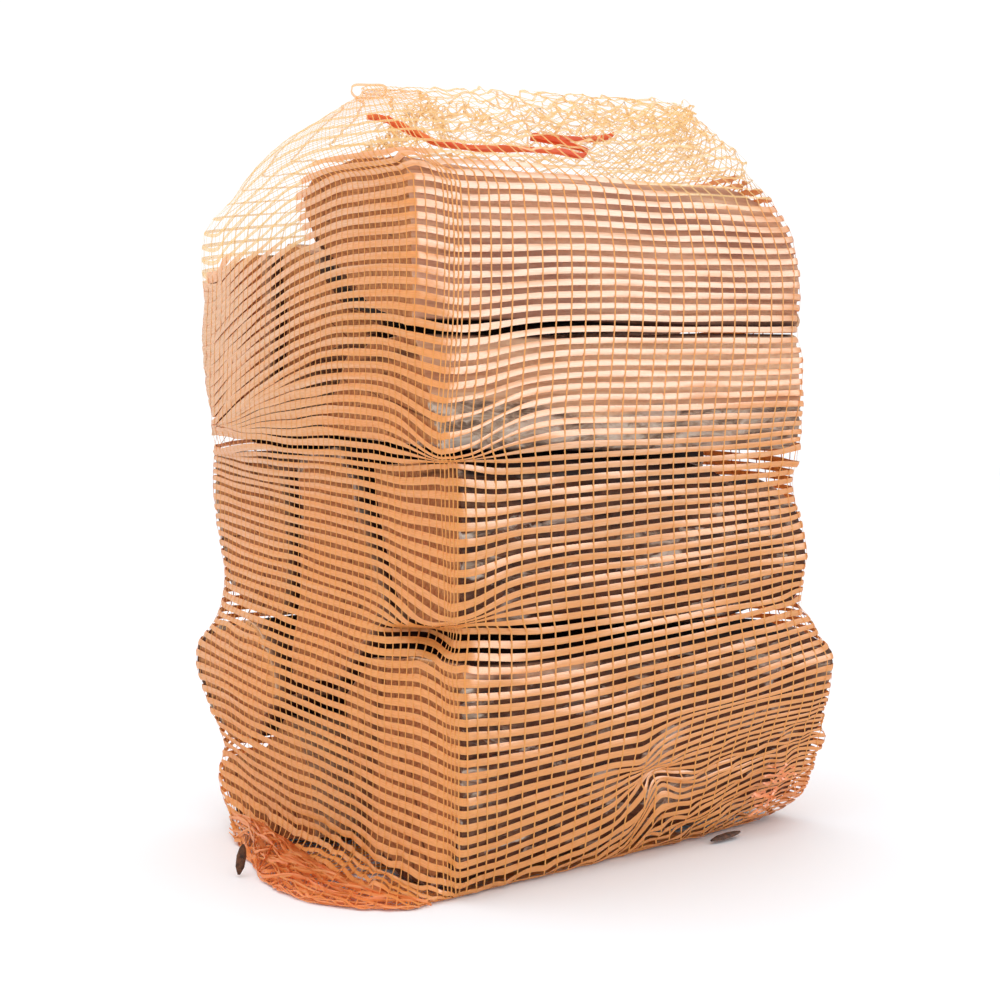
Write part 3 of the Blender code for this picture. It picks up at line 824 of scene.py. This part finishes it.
def bodyRing(height, samples, plan, radians):
    # A tight belt round what lies near a height: the logs, the back's shoulder and the tail,
    # whose reach shrinks towards its top. At the far ends it bridges the gaps between logs.
    within = plan["pitch"] * np.where(samples[:, 0] > 190, 2.2, 1.0)
    level = samples[np.abs(samples[:, 2] - height) < within][:, :2]
    if height < tailHeight:
        reach = min(1, 1.75 * (1 - height / tailHeight) ** 3.6)
        level = np.vstack((level, [(x * reach, y) for x, y in tailOutline]))
    if shoulder[0][0] < height < shoulder[-1][0]:
        wide = np.interp(height, *zip(*shoulder))
        level = np.vstack((level, [(end, wide) for end in shoulderEnds]))
    ring = wrapRound(level, plan["clearance"], radians)
    start = startShare(ring, np.array(plan["middle"]), np.array(plan["startTowards"]))
    even = evenRing(ring, plan["columns"], start, plan["sides"])
    return np.column_stack((even, np.full(len(even), height)))


def crownRing(row, plan, radians):
    # A rounded rectangle above the logs, climbing towards the far end.
    height, xFrom, xTo, yFrom, yTo, radius = crownRings[row]
    corners = np.array(((xFrom, yFrom), (xTo, yFrom), (xTo, yTo), (xFrom, yTo)), float)
    corners += np.sign(corners.mean(axis=0) - corners) * min(radius, 0.49 * (yTo - yFrom))
    ring = wrapRound(corners, radius, radians)
    middle = np.array(((xFrom + xTo) / 2, (yFrom + yTo) / 2))
    start = startShare(ring, middle, ring.min(axis=0) - middle)
    even = evenRing(ring, plan["columns"], start, plan["sides"])
    climb = crownRise * (row + 1) / len(crownRings) * (even[:, 0] - crownFrom) / crownLength
    return np.column_stack((even, height + climb))


def firstNet(plan, logs):
    # Rings round the logs, then the crown's rings, which close to a ridge; below, the lowest ring
    # shrinks to the gather.
    quarters = [np.array(plan["belt"]) + turn for turn in (0, 90, 180, 270)]
    radians = np.radians(np.concatenate(quarters)) % (2 * math.pi)
    radians = np.unique(np.round(radians, 6))
    samples = []
    for log in logs.values():
        outline = log["outlines"][::5]
        fraction = np.linspace(0, 1, len(outline))[:, None]
        samples.append(betweenEnds(log, outline, fraction).reshape(-1, 3))
    samples = np.vstack(samples)
    heights = plan["firstHeight"] + plan["pitch"] * np.arange(plan["bodyRows"])
    rings = [bodyRing(height, samples, plan, radians) for height in heights]
    rings += [crownRing(row, plan, radians) for row in range(len(crownRings))]
    gather = np.array((*plan["gather"], 0.0))
    lowest = rings[0] * (1, 1, 0)
    share = np.arange(plan["baseRows"], 0, -1)[:, None, None]
    share = 1 - plan["gathered"] * share / plan["baseRows"]
    base = gather + (lowest - gather) * share
    base[..., 2] = 1.0
    return np.concatenate((base, np.array(rings)))


def pullWeights(x, y, number):
    # How much of each pull a place gets: by its side, how far along it lies, and its tape.
    nearSide = easeStep(40, 4, y)
    farSide = easeStep(215, 238, x)
    farEnd = np.maximum(nearSide * np.clip((x - 10) / 235, 0, 1) ** 1.4, farSide * easeStep(190, 40, y))
    bunch = easeStep(104, 134, x) * nearSide * easeStep(16, 8, number)
    farEnd = np.maximum(farEnd, (0.7 + 0.25 * easeStep(130, 220, x)) * bunch)
    endSide = easeStep(14, -2, x)
    backSide = easeStep(196, 214, y) * (1 - 0.7 * x / 245)
    backHigh = np.maximum(endSide * np.clip((y - 80) / 140, 0, 1) ** 1.7, backSide)
    backHigh = np.maximum(backHigh, farSide * 0.3 * np.clip((y - 50) / 160, 0, 1))
    backLow = np.maximum(endSide * np.clip(y / 225, 0, 1), backSide)
    tail = endSide * easeStep(-4, 30, y) * easeStep(160, 104, y)
    return {"farEnd": farEnd, "backHigh": backHigh, "backLow": backLow, "tail": tail}


def pulledNet(base, plan):
    # Slides each tape up or down the first shape by the pulls, the pinches and the openings.
    # With the places comes how firmly each is held there.
    below, rings = plan["baseRows"], len(base)
    number = (np.arange(rings) - below)[:, None].astype(float)
    x, y = base[below + plan["bodyRows"] // 2][:, :2].T
    weights = pullWeights(x, y, number)

    def pull(name, tape):
        return np.interp(tape, *zip(*pulls[name])) * weights[name]

    def above(height):
        return (wanted - (height - plan["firstHeight"]) / plan["pitch"]) * plan["pitch"]

    def beside(px, py, reach):
        return np.exp(-((x - px) ** 2 + (y - py) ** 2) / reach ** 2)

    wanted = number + (pull("farEnd", number) + pull("backHigh", number) + pull("backLow", number))
    wanted = wanted + pull("tail", wanted)
    wander = 0.2 * latticeNoise(np.arange(len(x)) / 12.0, number / 3.0, 91, 20)
    wanted = wanted + wander * easeStep(-2, 3, number)
    inward, held = np.zeros_like(wanted), np.zeros_like(wanted)
    for px, py, height, sideways, up, down, share, pressed in pinches:
        offset, near = above(height), beside(px, py, sideways)
        level = np.exp(-(offset / np.where(offset > 0, up, down)) ** 4)
        inward = inward + pressed * near * np.exp(-(offset / 8) ** 2)
        held = np.maximum(held, 0.9 * level * near)
        wanted = wanted - share * level * near * offset / plan["pitch"]
    for px, py, height, sideways, up, apart in openings:
        offset = above(height)
        parted = beside(px, py, sideways) * np.exp(-(offset / up) ** 2)
        held = np.maximum(held, 0.9 * parted)
        wanted = wanted + np.where(offset > 0, 1, -1) * apart * parted / plan["pitch"]
    place = np.clip(wanted + below, 0, rings - 1.001)
    low = place.astype(int)
    part = (place - low)[..., None]
    column = np.broadcast_to(np.arange(len(x)), low.shape)
    points = base[low, column] * (1 - part) + base[low + 1, column] * part
    towards = np.zeros_like(points)
    towards[..., :2] = unit(np.array(plan["middle"]) - points[..., :2])
    return points + towards * inward[..., None], held


def offLogs(points):
    # 1 where the net hangs free above the logs, 0 where it lies on them: by its distance from
    # the nearest log, less what it may stand off along the long sides. The logs' tops are lower
    # at the back.
    above = points[..., 2] - (316 - 0.25 * np.clip(points[..., 1] - 150, 0, 80))
    off = sampleField(field, fieldPlan, points)[..., 0] - 3.4 * easeStep(8, 45, points[..., 0])
    return easeStep(2.4, 5, off) * easeStep(-6, 6, above)


def softened(points, rounds):
    # Above the logs, each place moves towards the middle of its four neighbours.
    free = 0.5 * offLogs(points)[1:-1, :, None]
    for _ in range(rounds):
        middle = 0.5 * betweenNeighbours(points)[1:-1] + 0.25 * (points[:-2] + points[2:])
        points[1:-1] += free * (middle - points[1:-1])
    return points


def tighten(points, axis, rest, strength):
    # Neighbours along an axis that are further apart than rest move together, every other pair at
    # a time. rest is one length, or one for each pair.
    points = np.moveaxis(points, axis, 0)
    count = len(points)
    for first in (0, 1):
        here = np.arange(first, count - (0 if axis == 1 else 1), 2)
        there = (here + 1) % count
        gap = points[there] - points[here]
        length = np.linalg.norm(gap, axis=-1, keepdims=True)
        limit = rest[here] if np.ndim(rest) else rest
        move = gap * (0.5 * strength * np.maximum(0, 1 - limit / np.maximum(length, 1e-6)))
        points[here] += move
        points[there] -= move
    return np.moveaxis(points, 0, axis)


def relaxNet(start, held, plan, field):
    # The tapes pull round, the threads pull up and down, and the logs and the floor push back.
    # The crown, the tail, the base and the pinched places keep some of their first shape.
    points = start.copy()
    rows = len(points)
    below = plan["baseRows"]
    rest = 0.985 * np.linalg.norm(np.roll(start, -1, axis=1) - start, axis=-1).T[..., None]
    number = (np.arange(rows) - below)[:, None, None]
    body = plan["bodyRows"]
    hold = np.select((number > body + 1, number > body - 3, number < 1), (1.0, 0.3, 0.4), 0.0)
    inTail = easeStep(-5, -14, start[..., 0:1]) * easeStep(20, 12, start[..., 2:3])
    hold = np.maximum(np.maximum(hold, 0.7 * inTail), held[..., None])
    above = np.where(number < -3, 0.0, 1.0)
    for _ in range(plan["rounds"]):
        before = points.copy()
        points = tighten(points, 1, rest, plan["pullRound"])
        points = tighten(points, 0, plan["pitch"] * 1.02, plan["pullUp"])
        flat = points[..., :2]
        flat[1:-1] += plan["straighten"] * (0.5 * (flat[:-2] + flat[2:]) - flat[1:-1])
        points += plan["smooth"] * (betweenNeighbours(points) - points)
        points = points + (before - points) * hold
        points = points + (start - points) * hold * plan["restore"]
        found = sampleField(field, fieldPlan, points)
        short = np.clip(plan["clearance"] - found[..., :1], 0, 4) * above
        points = points + unit(found[..., 1:]) * short
        points[..., 2] = np.maximum(points[..., 2], 0.9)
    return points


def crumple(points, plan, seed):
    # Where the net is gathered its tapes are longer than their places: they bend in and out
    # and drift up and down, by noise. The middle of the base is out of sight and stays flat.
    rows, columns = points.shape[:2]
    across, along = np.arange(columns)[None], np.arange(rows)[:, None]
    up = unit(np.gradient(points, axis=0))
    outward = unit(np.cross(alongRings(points), up))
    x, y, z = points[..., 0], points[..., 1], points[..., 2]

    def noise(wide, high, shift):
        cells = round(columns / wide)
        return latticeNoise(across * (cells / columns), along / high, seed + shift, cells)

    upTop = easeStep(352, 366, z) * (0.1 + 0.9 * easeStep(10, 80, x))
    nearSide = easeStep(30, 8, y)
    lowFar = nearSide * easeStep(118, 150, x) * easeStep(66, 40, z - 0.12 * (x - 150))
    lump = nearSide * np.exp(-((x - 124) / 15) ** 2) * easeStep(54, 34, z)
    hem = easeStep(16, 6, z) * easeStep(0.5, 2.5, z)
    tail = easeStep(2, -10, x) * easeStep(26, 18, z) * easeStep(0.5, 2.0, z)
    fold, ripple, tumble = noise(2.5, 4.0, 0), noise(2.0, 1.3, 5), noise(1.6, 1.1, 6)
    amount = upTop * (2.2 * tumble + 1.6 * fold) + 1.8 * tail * fold
    amount = amount + (1.9 * lowFar + 1.2 * hem + 2.6 * lump) * ripple
    amount = np.maximum(amount, -0.3 - 2.5 * upTop - 1.0 * tail - 1.0 * lump)
    amount = amount + 0.35 * np.maximum(noise(6.0, 2.0, 2), 0)
    drift = 0.35 * noise(7.5, 1.6, 3) + 2.4 * upTop * noise(1.6, 0.9, 7)
    drift = drift + (1.3 * lowFar + 1.0 * tail + 0.8 * hem + 2.0 * lump) * noise(2.5, 1.2, 4)
    visible = np.where(along < plan["coarseRows"] - 1, 0.0, 1.0)
    points = points + (outward * amount[..., None] + up * drift[..., None]) * visible[..., None]
    points[..., 2] = np.maximum(points[..., 2], 0.9)
    return points


def fineRing(line, factor):
    # Points between the given ones of closed lines, on smooth curves through them.
    before, after, later = [np.roll(line, turn, axis=1) for turn in (1, -1, -2)]
    parts = []
    for step in range(factor):
        t = step / factor
        parts.append(0.5 * (2 * line + (after - before) * t
                            + (2 * before - 5 * line + 4 * after - later) * t ** 2
                            + (3 * line - before - 3 * after + later) * t ** 3))
    return np.stack(parts, axis=2).reshape(line.shape[0], -1, 3)


def ribbons(lines, ups, widths, rise, closed):
    # Each line becomes a thin strip. Its cross-section is a low triangle: two edges and a ridge.
    rows, count = lines.shape[:2]
    tangent = alongRings(lines) if closed else unit(np.gradient(lines, axis=1))
    up = unit(squareTo(ups, tangent))
    outward = np.cross(tangent, up)
    half = 0.5 * np.broadcast_to(widths, lines.shape[:2])[..., None]
    points = np.stack((lines - up * half, lines + outward * rise, lines + up * half), axis=2)
    points[..., 2] = np.maximum(points[..., 2], (0.15, 0.5, 0.25))
    index = np.arange(rows * count * 3).reshape(rows, count, 3)
    here, there = (index, np.roll(index, -1, axis=1)) if closed else (index[:, :-1], index[:, 1:])
    faces = [np.stack((here[..., a], there[..., a], there[..., b], here[..., b]), axis=-1).reshape(-1, 4)
             for a, b in ((0, 1), (1, 2), (2, 0))]
    if not closed:
        faces.append(np.concatenate((index[:, 0], index[:, -1, ::-1])))
    return points, faces


def netPiece(name, lines, ups, widths, rise, closed, material, slack=None, bunched=None):
    # The strips as one piece, with what the net's material reads: the place along and across a
    # strip, how slack it is and how bunched.
    points, faces = ribbons(lines, ups, widths, rise, closed)
    place = np.zeros(points.shape)
    place[..., 0] = np.arange(lines.shape[1])[None, :, None] * 0.002
    place[..., 1] = np.arange(3)[None, None] * 0.5 + np.arange(len(lines))[:, None, None] * 7
    if slack is None:
        slack, bunched = offLogs(lines), bunchedShare(lines)
    shown = [np.repeat(np.broadcast_to(values, lines.shape[:2])[..., None], 3, axis=2).ravel()
             for values in (slack, bunched)]
    item = makePiece(name, points.reshape(-1, 3), faces, material, (
        ("weavePlace", "FLOAT_VECTOR", place.reshape(-1, 3)), ("slack", "FLOAT", shown[0]),
        ("bunched", "FLOAT", shown[1])))
    item.data.set_sharp_from_angle(angle=math.radians(60))
    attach(item, "root")
    return item


def bunchedShare(points):
    # High in the tail and at the far lower corner, where many layers lie together, and a little
    # at the crown's knot.
    x, y, z = points[..., 0], points[..., 1], points[..., 2]
    tail = 0.8 * easeStep(-12, -34, x) * easeStep(28, 8, z)
    corner = 0.8 * easeStep(205, 240, x) * easeStep(40, 10, z) * easeStep(40, 10, y)
    knot = 0.35 * easeStep(60, 5, x) * easeStep(374, 388, z)
    return np.maximum(np.maximum(tail, corner), knot)


def buildTapes(name, lines, ups, plan, seed):
    # A tape fills its share of the way to the next one; slack tapes are narrower and twisted.
    across, along = np.arange(lines.shape[1])[None] / 2.0, np.arange(len(lines))[:, None]
    tangent = alongRings(lines)
    slack = offLogs(lines)
    loose = 0.2 + 0.8 * slack * easeStep(10, 80, lines[..., 0])
    twist = loose * latticeNoise(across / 6.0, along * 0.9, seed)
    ups = squareTo(ups, tangent)
    up = unit(ups)
    up = up * np.cos(twist)[..., None] + np.cross(tangent, up) * np.sin(twist)[..., None]
    pitch = np.linalg.norm(ups, axis=-1)
    thinner = slack * (0.56 + 0.06 * easeStep(20, 90, lines[..., 0]))
    widths = np.clip(plan["tapeShare"] * pitch + 0.2, 0.9, plan["tapeWidest"]) * (1 - thinner)
    for px, py, height, reachX, reachY, reachZ, more in spread:
        away = ((lines - (px, py, height)) / (reachX, reachY, reachZ)) ** 4
        widths = widths * (1 + more * np.exp(-away.sum(axis=-1)))
    widths = widths * (1 + 0.08 * latticeNoise(across / 5.0, along, seed + 1))
    return netPiece(name, lines, up, widths, plan["tapeRise"], True, netMaterial)


def buildThreads(name, grid, plan, step):
    # Thin threads cross the tapes, lying over each tape and straight across each gap.
    lines = np.swapaxes(grid[:, ::step], 0, 1)
    count = lines.shape[1]
    up = unit(np.gradient(lines, axis=1))
    side = alongRings(lines, axis=0)
    outward = unit(np.cross(side, up))
    path = np.empty((len(lines), 2 * count - 1, 3))
    path[:, ::2] = lines + outward * 0.3
    path[:, 1::2] = 0.5 * (lines[:, :-1] + lines[:, 1:]) + 0.15 * outward[:, :-1]
    sides = np.repeat(side, 2, axis=1)[:, :-1]
    widths = plan["threadWidth"] * (0.65 + 0.35 * easeStep(-2, 14, path[..., 0]))
    return netPiece(name, path, -sides, widths, 0.12, False, threadMaterial)


startGrid, heldGrid = pulledNet(firstNet(netShape, logs), netShape)
startGrid = softened(startGrid, netShape["softRounds"])
netGrid = crumple(relaxNet(startGrid, heldGrid, netShape, field), netShape, 11)
print("net shaped", netGrid.shape)

ups = np.gradient(netGrid, axis=0)
coarse = netShape["coarseRows"]
fineLines, fineUps = fineRing(netGrid[coarse:], 2), fineRing(ups[coarse:], 2)
upperFrom = netShape["baseRows"] + netShape["lowerRows"] - coarse
baseTapes = buildTapes("net_tapes_base", netGrid[:coarse], ups[:coarse], netShape, 19)
lowerTapes = buildTapes("net_tapes_lower", fineLines[:upperFrom], fineUps[:upperFrom], netShape, 21)
upperTapes = buildTapes("net_tapes_upper", fineLines[upperFrom:], fineUps[upperFrom:], netShape, 23)
buildThreads("net_threads", netGrid[netShape["threadsFrom"]:], netShape, 2)
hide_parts("net_bag")
print("net made")


# The net's spare top, its hem and its tail

spareShape = {
    "foldRows": 9,          # tapes folded down inside the top,
    "foldFrom": (112, 73),  # round this middle,
    "foldTo": (126, 73),    # moved to this one,
    "foldShrink": (0.84, 0.6),
    "foldDrop": 6,
    "foldLowest": 359,
    "hemLayers": 3,
    "hemPlaces": 150,       # places along each layer
    "hemWidth": 2.2,
    "loopPlaces": 48,
    "strands": 64,          # strands in the tail
    "strandPlaces": 70,
    "fringe": 20,           # strands at the far lower corner
    "fringePlaces": 22,
}
# x, y, z along the folded hem
hemPath = (
    (-3, 64, 379), (-2, 50, 376), (1, 36, 370), (8, 25, 364), (30, 22, 361.5), (60, 22, 363),
    (85, 23, 363.5), (104, 24, 362.5), (110, 28, 366), (98, 34, 370), (80, 40, 372), (96, 46, 373.5),
    (120, 48, 374), (140, 52, 376), (152, 56, 379),
)
# y along the tail, how far it stands out from the logs, and its height
tailForm = (
    (-3, 4, 3), (4, 15, 3.5), (20, 33, 4.5), (44, 46, 6), (71, 47, 8), (95, 42, 10), (110, 34, 12),
    (150, 17, 14), (190, 6, 12),
)


def foldedTop(points, shape, seed):
    # The top tapes once more, drawn in towards the ridge and tumbled.
    folds = points[-shape["foldRows"]:].copy()
    across, along = np.arange(folds.shape[1])[None], np.arange(len(folds))[:, None]
    away = folds[..., :2] - np.array(shape["foldFrom"])
    folds[..., :2] = np.array(shape["foldTo"]) + away * np.array(shape["foldShrink"])
    folds[..., 2] -= shape["foldDrop"]
    for axis, reach in ((0, 3.0), (1, 4.0), (2, 4.0)):
        folds[..., axis] += reach * latticeNoise(across / 1.5, along / 1.0, seed + axis, 180)
        folds[..., axis] += reach * latticeNoise(across / 6.0, along / 2.0, seed + 5 + axis, 45)
    folds[..., 2] = np.maximum(folds[..., 2], shape["foldLowest"])
    return folds


def alongPath(path, steps, rounds=6):
    # Evenly numbered places on a line through the given points, its corners rounded by averaging.
    given = np.array(path, float)
    line = placesAt(np.linspace(0, len(given) - 1, steps), np.arange(len(given)), given)
    for _ in range(rounds):
        line[1:-1] = 0.5 * line[1:-1] + 0.25 * (line[:-2] + line[2:])
    return line


def waves(count, steps, seed, long, short):
    # Smooth waves along each strand, each strand with its own.
    along, strand = np.arange(steps)[None], np.arange(count)[:, None] * 3.0 + 0.5
    slow = latticeNoise(strand, along / long, seed)
    quick = latticeNoise(strand, along / short, seed + 1)
    return 0.65 * slow + 0.35 * quick


def tailStrands(count, steps, seed):
    # Each strand runs along the tail's rim at its own place across a low rope.
    chance = np.random.default_rng(seed)
    y, out, high = np.array(tailForm).T
    begin, end = chance.uniform(0.0, 0.35, (count, 1)), chance.uniform(0.5, 1.0, (count, 1))
    t = begin + (end - begin) * np.linspace(0, 1, steps)[None]
    place = chance.uniform(0.0, 1.0, (count, 1)) ** 0.8
    yPlace = 188 - 188 * t
    place = np.clip(place + 0.5 * waves(count, steps, seed + 4, 22, 12), 0, 1)
    distance = np.interp(yPlace, y, out) * (1 - place * 0.8)
    distance = distance + 1.6 * waves(count, steps, seed + 6, 12, 5)
    height = np.interp(yPlace, y, high) * np.sin(math.pi * (0.08 + 0.8 * place))
    height = height + 2.2 * waves(count, steps, seed + 8, 12, 5)
    return np.stack((-6 - distance, yPlace, np.maximum(height, 1.0)), axis=-1)


def fringeStrands(count, steps, seed):
    # Short strands that hang and stick out at the far lower corner.
    chance = np.random.default_rng(seed)
    t = np.linspace(0, 1, steps)[None]
    start = chance.uniform((206, -3, 12), (236, 2, 40), (count, 3))
    start[:, 2] = 17 + (start[:, 0] - 205) * 0.8 + chance.uniform(-6, 6, count)
    end = start + chance.uniform((-14, -1.5, -5), (-3, 1.5, 3), (count, 3))
    line = start[:, None] + (end - start)[:, None] * t[..., None]
    for axis, reach in ((0, 2.4), (1, 1.0), (2, 2.0)):
        line[..., axis] += reach * waves(count, steps, seed + 3 * axis, 7, 3)
    line[..., 2] = np.maximum(line[..., 2], 1.0)
    return line


def tilted(count, steps, lean, seed):
    # Upright directions that lean a little differently along each strand.
    turn = lean * waves(count, steps, seed, 10, 4)
    return np.stack((np.sin(turn), 0.4 * np.sin(2 * turn), np.cos(turn)), axis=-1)


def addFolds(grid, shape):
    # Narrow slack strands inside the crown.
    folds = foldedTop(grid, shape, 61)
    upwards = fineRing(np.gradient(folds, axis=0), 2)
    netPiece("net_folds", fineRing(folds, 2), upwards, 1.1, 0.12, True, netMaterial, 1.0, 0.0)


def addHem(shape):
    # Layers of band along the hem's path, each a little further back and lower than the last.
    layers, places = shape["hemLayers"], shape["hemPlaces"]
    line = alongPath(hemPath, places)
    lines = np.stack([line + (0.4 * layer, 1.3 * layer, -0.4 * layer) for layer in range(layers)])
    lines[..., 2] += 1.2 * waves(layers, places, 71, 8, 3)
    bunched = np.clip(0.3 + 0.9 * waves(layers, places, 76, 9, 3), 0, 1)
    netPiece("net_hem", lines, tilted(layers, places, 1.3, 74), shape["hemWidth"], 0.2, False,
             hemMaterial, 0.0, bunched)


def addLoop(shape):
    # An uneven oval that leans over the crown's corner.
    turn = np.linspace(0, 2 * math.pi, shape["loopPlaces"], endpoint=False)
    line = np.stack((4 + 6.9 * np.cos(turn) + 0.8 * np.sin(2 * turn), 74 - 5.2 * np.cos(turn),
                     392.2 + 3.8 * np.sin(turn) + 0.6 * np.sin(3 * turn)), axis=-1)
    upwards = np.broadcast_to((0.3, 0.2, 1.0), (1, len(turn), 3))
    netPiece("net_loop", line[None], upwards, 1.5, 0.6, True, netMaterial, 0.8, 0.3)


def addTail(shape, chance):
    # Many strands of different widths that lie side by side round the tail.
    count, places = shape["strands"], shape["strandPlaces"]
    widths = chance.uniform(0.8, 1.5, (count, 1))
    bunched = chance.uniform(0.0, 1.0, (count, 1)) ** 1.6
    netPiece("net_tail", tailStrands(count, places, 41), tilted(count, places, 0.9, 47), widths,
             0.15, False, netMaterial, 0.0, bunched)


def addFringe(shape, chance):
    # The tapes' loose ends at the far lower corner.
    count, places = shape["fringe"], shape["fringePlaces"]
    widths = chance.uniform(0.8, 1.7, (count, 1))
    netPiece("net_fringe", fringeStrands(count, places, 83), tilted(count, places, 1.0, 85), widths,
             0.15, False, netMaterial, 0.0, 1.0)


addFolds(netGrid, spareShape)
addHem(spareShape)
addLoop(spareShape)
strandChance = np.random.default_rng(5)
addTail(spareShape, strandChance)
addFringe(spareShape, strandChance)
print("net's spare parts made")


# The two loose slivers of bark keep their solids' shapes

def makeSliverMaterial(name, colours):
    # Dark bark with small paler spots.
    material, tree, shader = newMaterial(name, 0.85)
    spots = placeNoise(tree, (300.0, 300.0, 300.0), 5.0, 0.7)
    colour = ramp(tree, spots, (
        (0.4, colours["barkDark"]), (0.6, colours["barkBrown"]), (0.75, colours["barkGrey"])))
    tree.links.new(colour, shader.inputs["Base Color"])
    addBump(tree, shader, spots, 0.6, 0.0008)
    return material


sliverMaterial = makeSliverMaterial("looseBark", woodColours)
for name in ("bark_sliver_front", "bark_sliver_side"):
    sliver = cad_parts[name]
    sliver.data.materials.clear()
    sliver.data.materials.append(sliverMaterial)


# Floor and light

lightPlan = {
    "sky": 1.06,
    "top": dict(place=(-120.0, 160.0, 1500.0), size=1.4, power=6.0),     # sizes in metres
    "gloss": dict(place=(753.0, -852.0, 560.0), size=0.75, power=15.0),     # only seen as a shine
    "floor": 3.0,           # half of its side, in metres
    "floorColour": (0.945, 0.957, 0.985, 1),
    "glowColour": (0.2, 0.6, 1, 1),     # a little blue, as the light on a pale studio floor is
    "glow": 0.03,
}


def makeLamp(name, plan):
    # A square lamp that faces the stack's middle.
    light = bpy.data.lights.new(name, "AREA")
    light.size = plan["size"]
    light.energy = plan["power"]
    lamp = bpy.data.objects.new(name, light)
    middle = Vector((0, 0, 0.2))
    lamp.location = (np.array(plan["place"]) + stackShift) * mm
    lamp.rotation_euler = (middle - lamp.location).to_track_quat("-Z", "Y").to_euler()
    bpy.context.collection.objects.link(lamp)
    return lamp


def makeFloor(plan):
    # A pale square, level with the ground.
    edge = plan["floor"]
    corners = [(-edge, -edge, 0), (edge, -edge, 0), (edge, edge, 0), (-edge, edge, 0)]
    mesh = bpy.data.meshes.new("floor")
    mesh.from_pydata(corners, [], [(0, 1, 2, 3)])
    floor = bpy.data.objects.new("floor", mesh)
    bpy.context.collection.objects.link(floor)
    material, _, shader = newMaterial("paleFloor", 0.6)
    shader.inputs["Base Color"].default_value = plan["floorColour"]
    shader.inputs["Specular IOR Level"].default_value = 0.1
    shader.inputs["Emission Color"].default_value = plan["glowColour"]
    shader.inputs["Emission Strength"].default_value = plan["glow"]
    mesh.materials.append(material)


def makeSurround(plan):
    # Even white light from all round.
    world = bpy.data.worlds.new("surround")
    world.use_nodes = True
    sky = world.node_tree.nodes["Background"]
    sky.inputs["Color"].default_value = white
    sky.inputs["Strength"].default_value = plan["sky"]
    bpy.context.scene.world = world


makeFloor(lightPlan)
makeSurround(lightPlan)
makeLamp("top", lightPlan["top"])
shine = makeLamp("gloss", lightPlan["gloss"])
shine.visible_diffuse = False
shine.visible_transmission = False
bpy.context.scene.view_settings.view_transform = "Standard"
print("floor and light made")
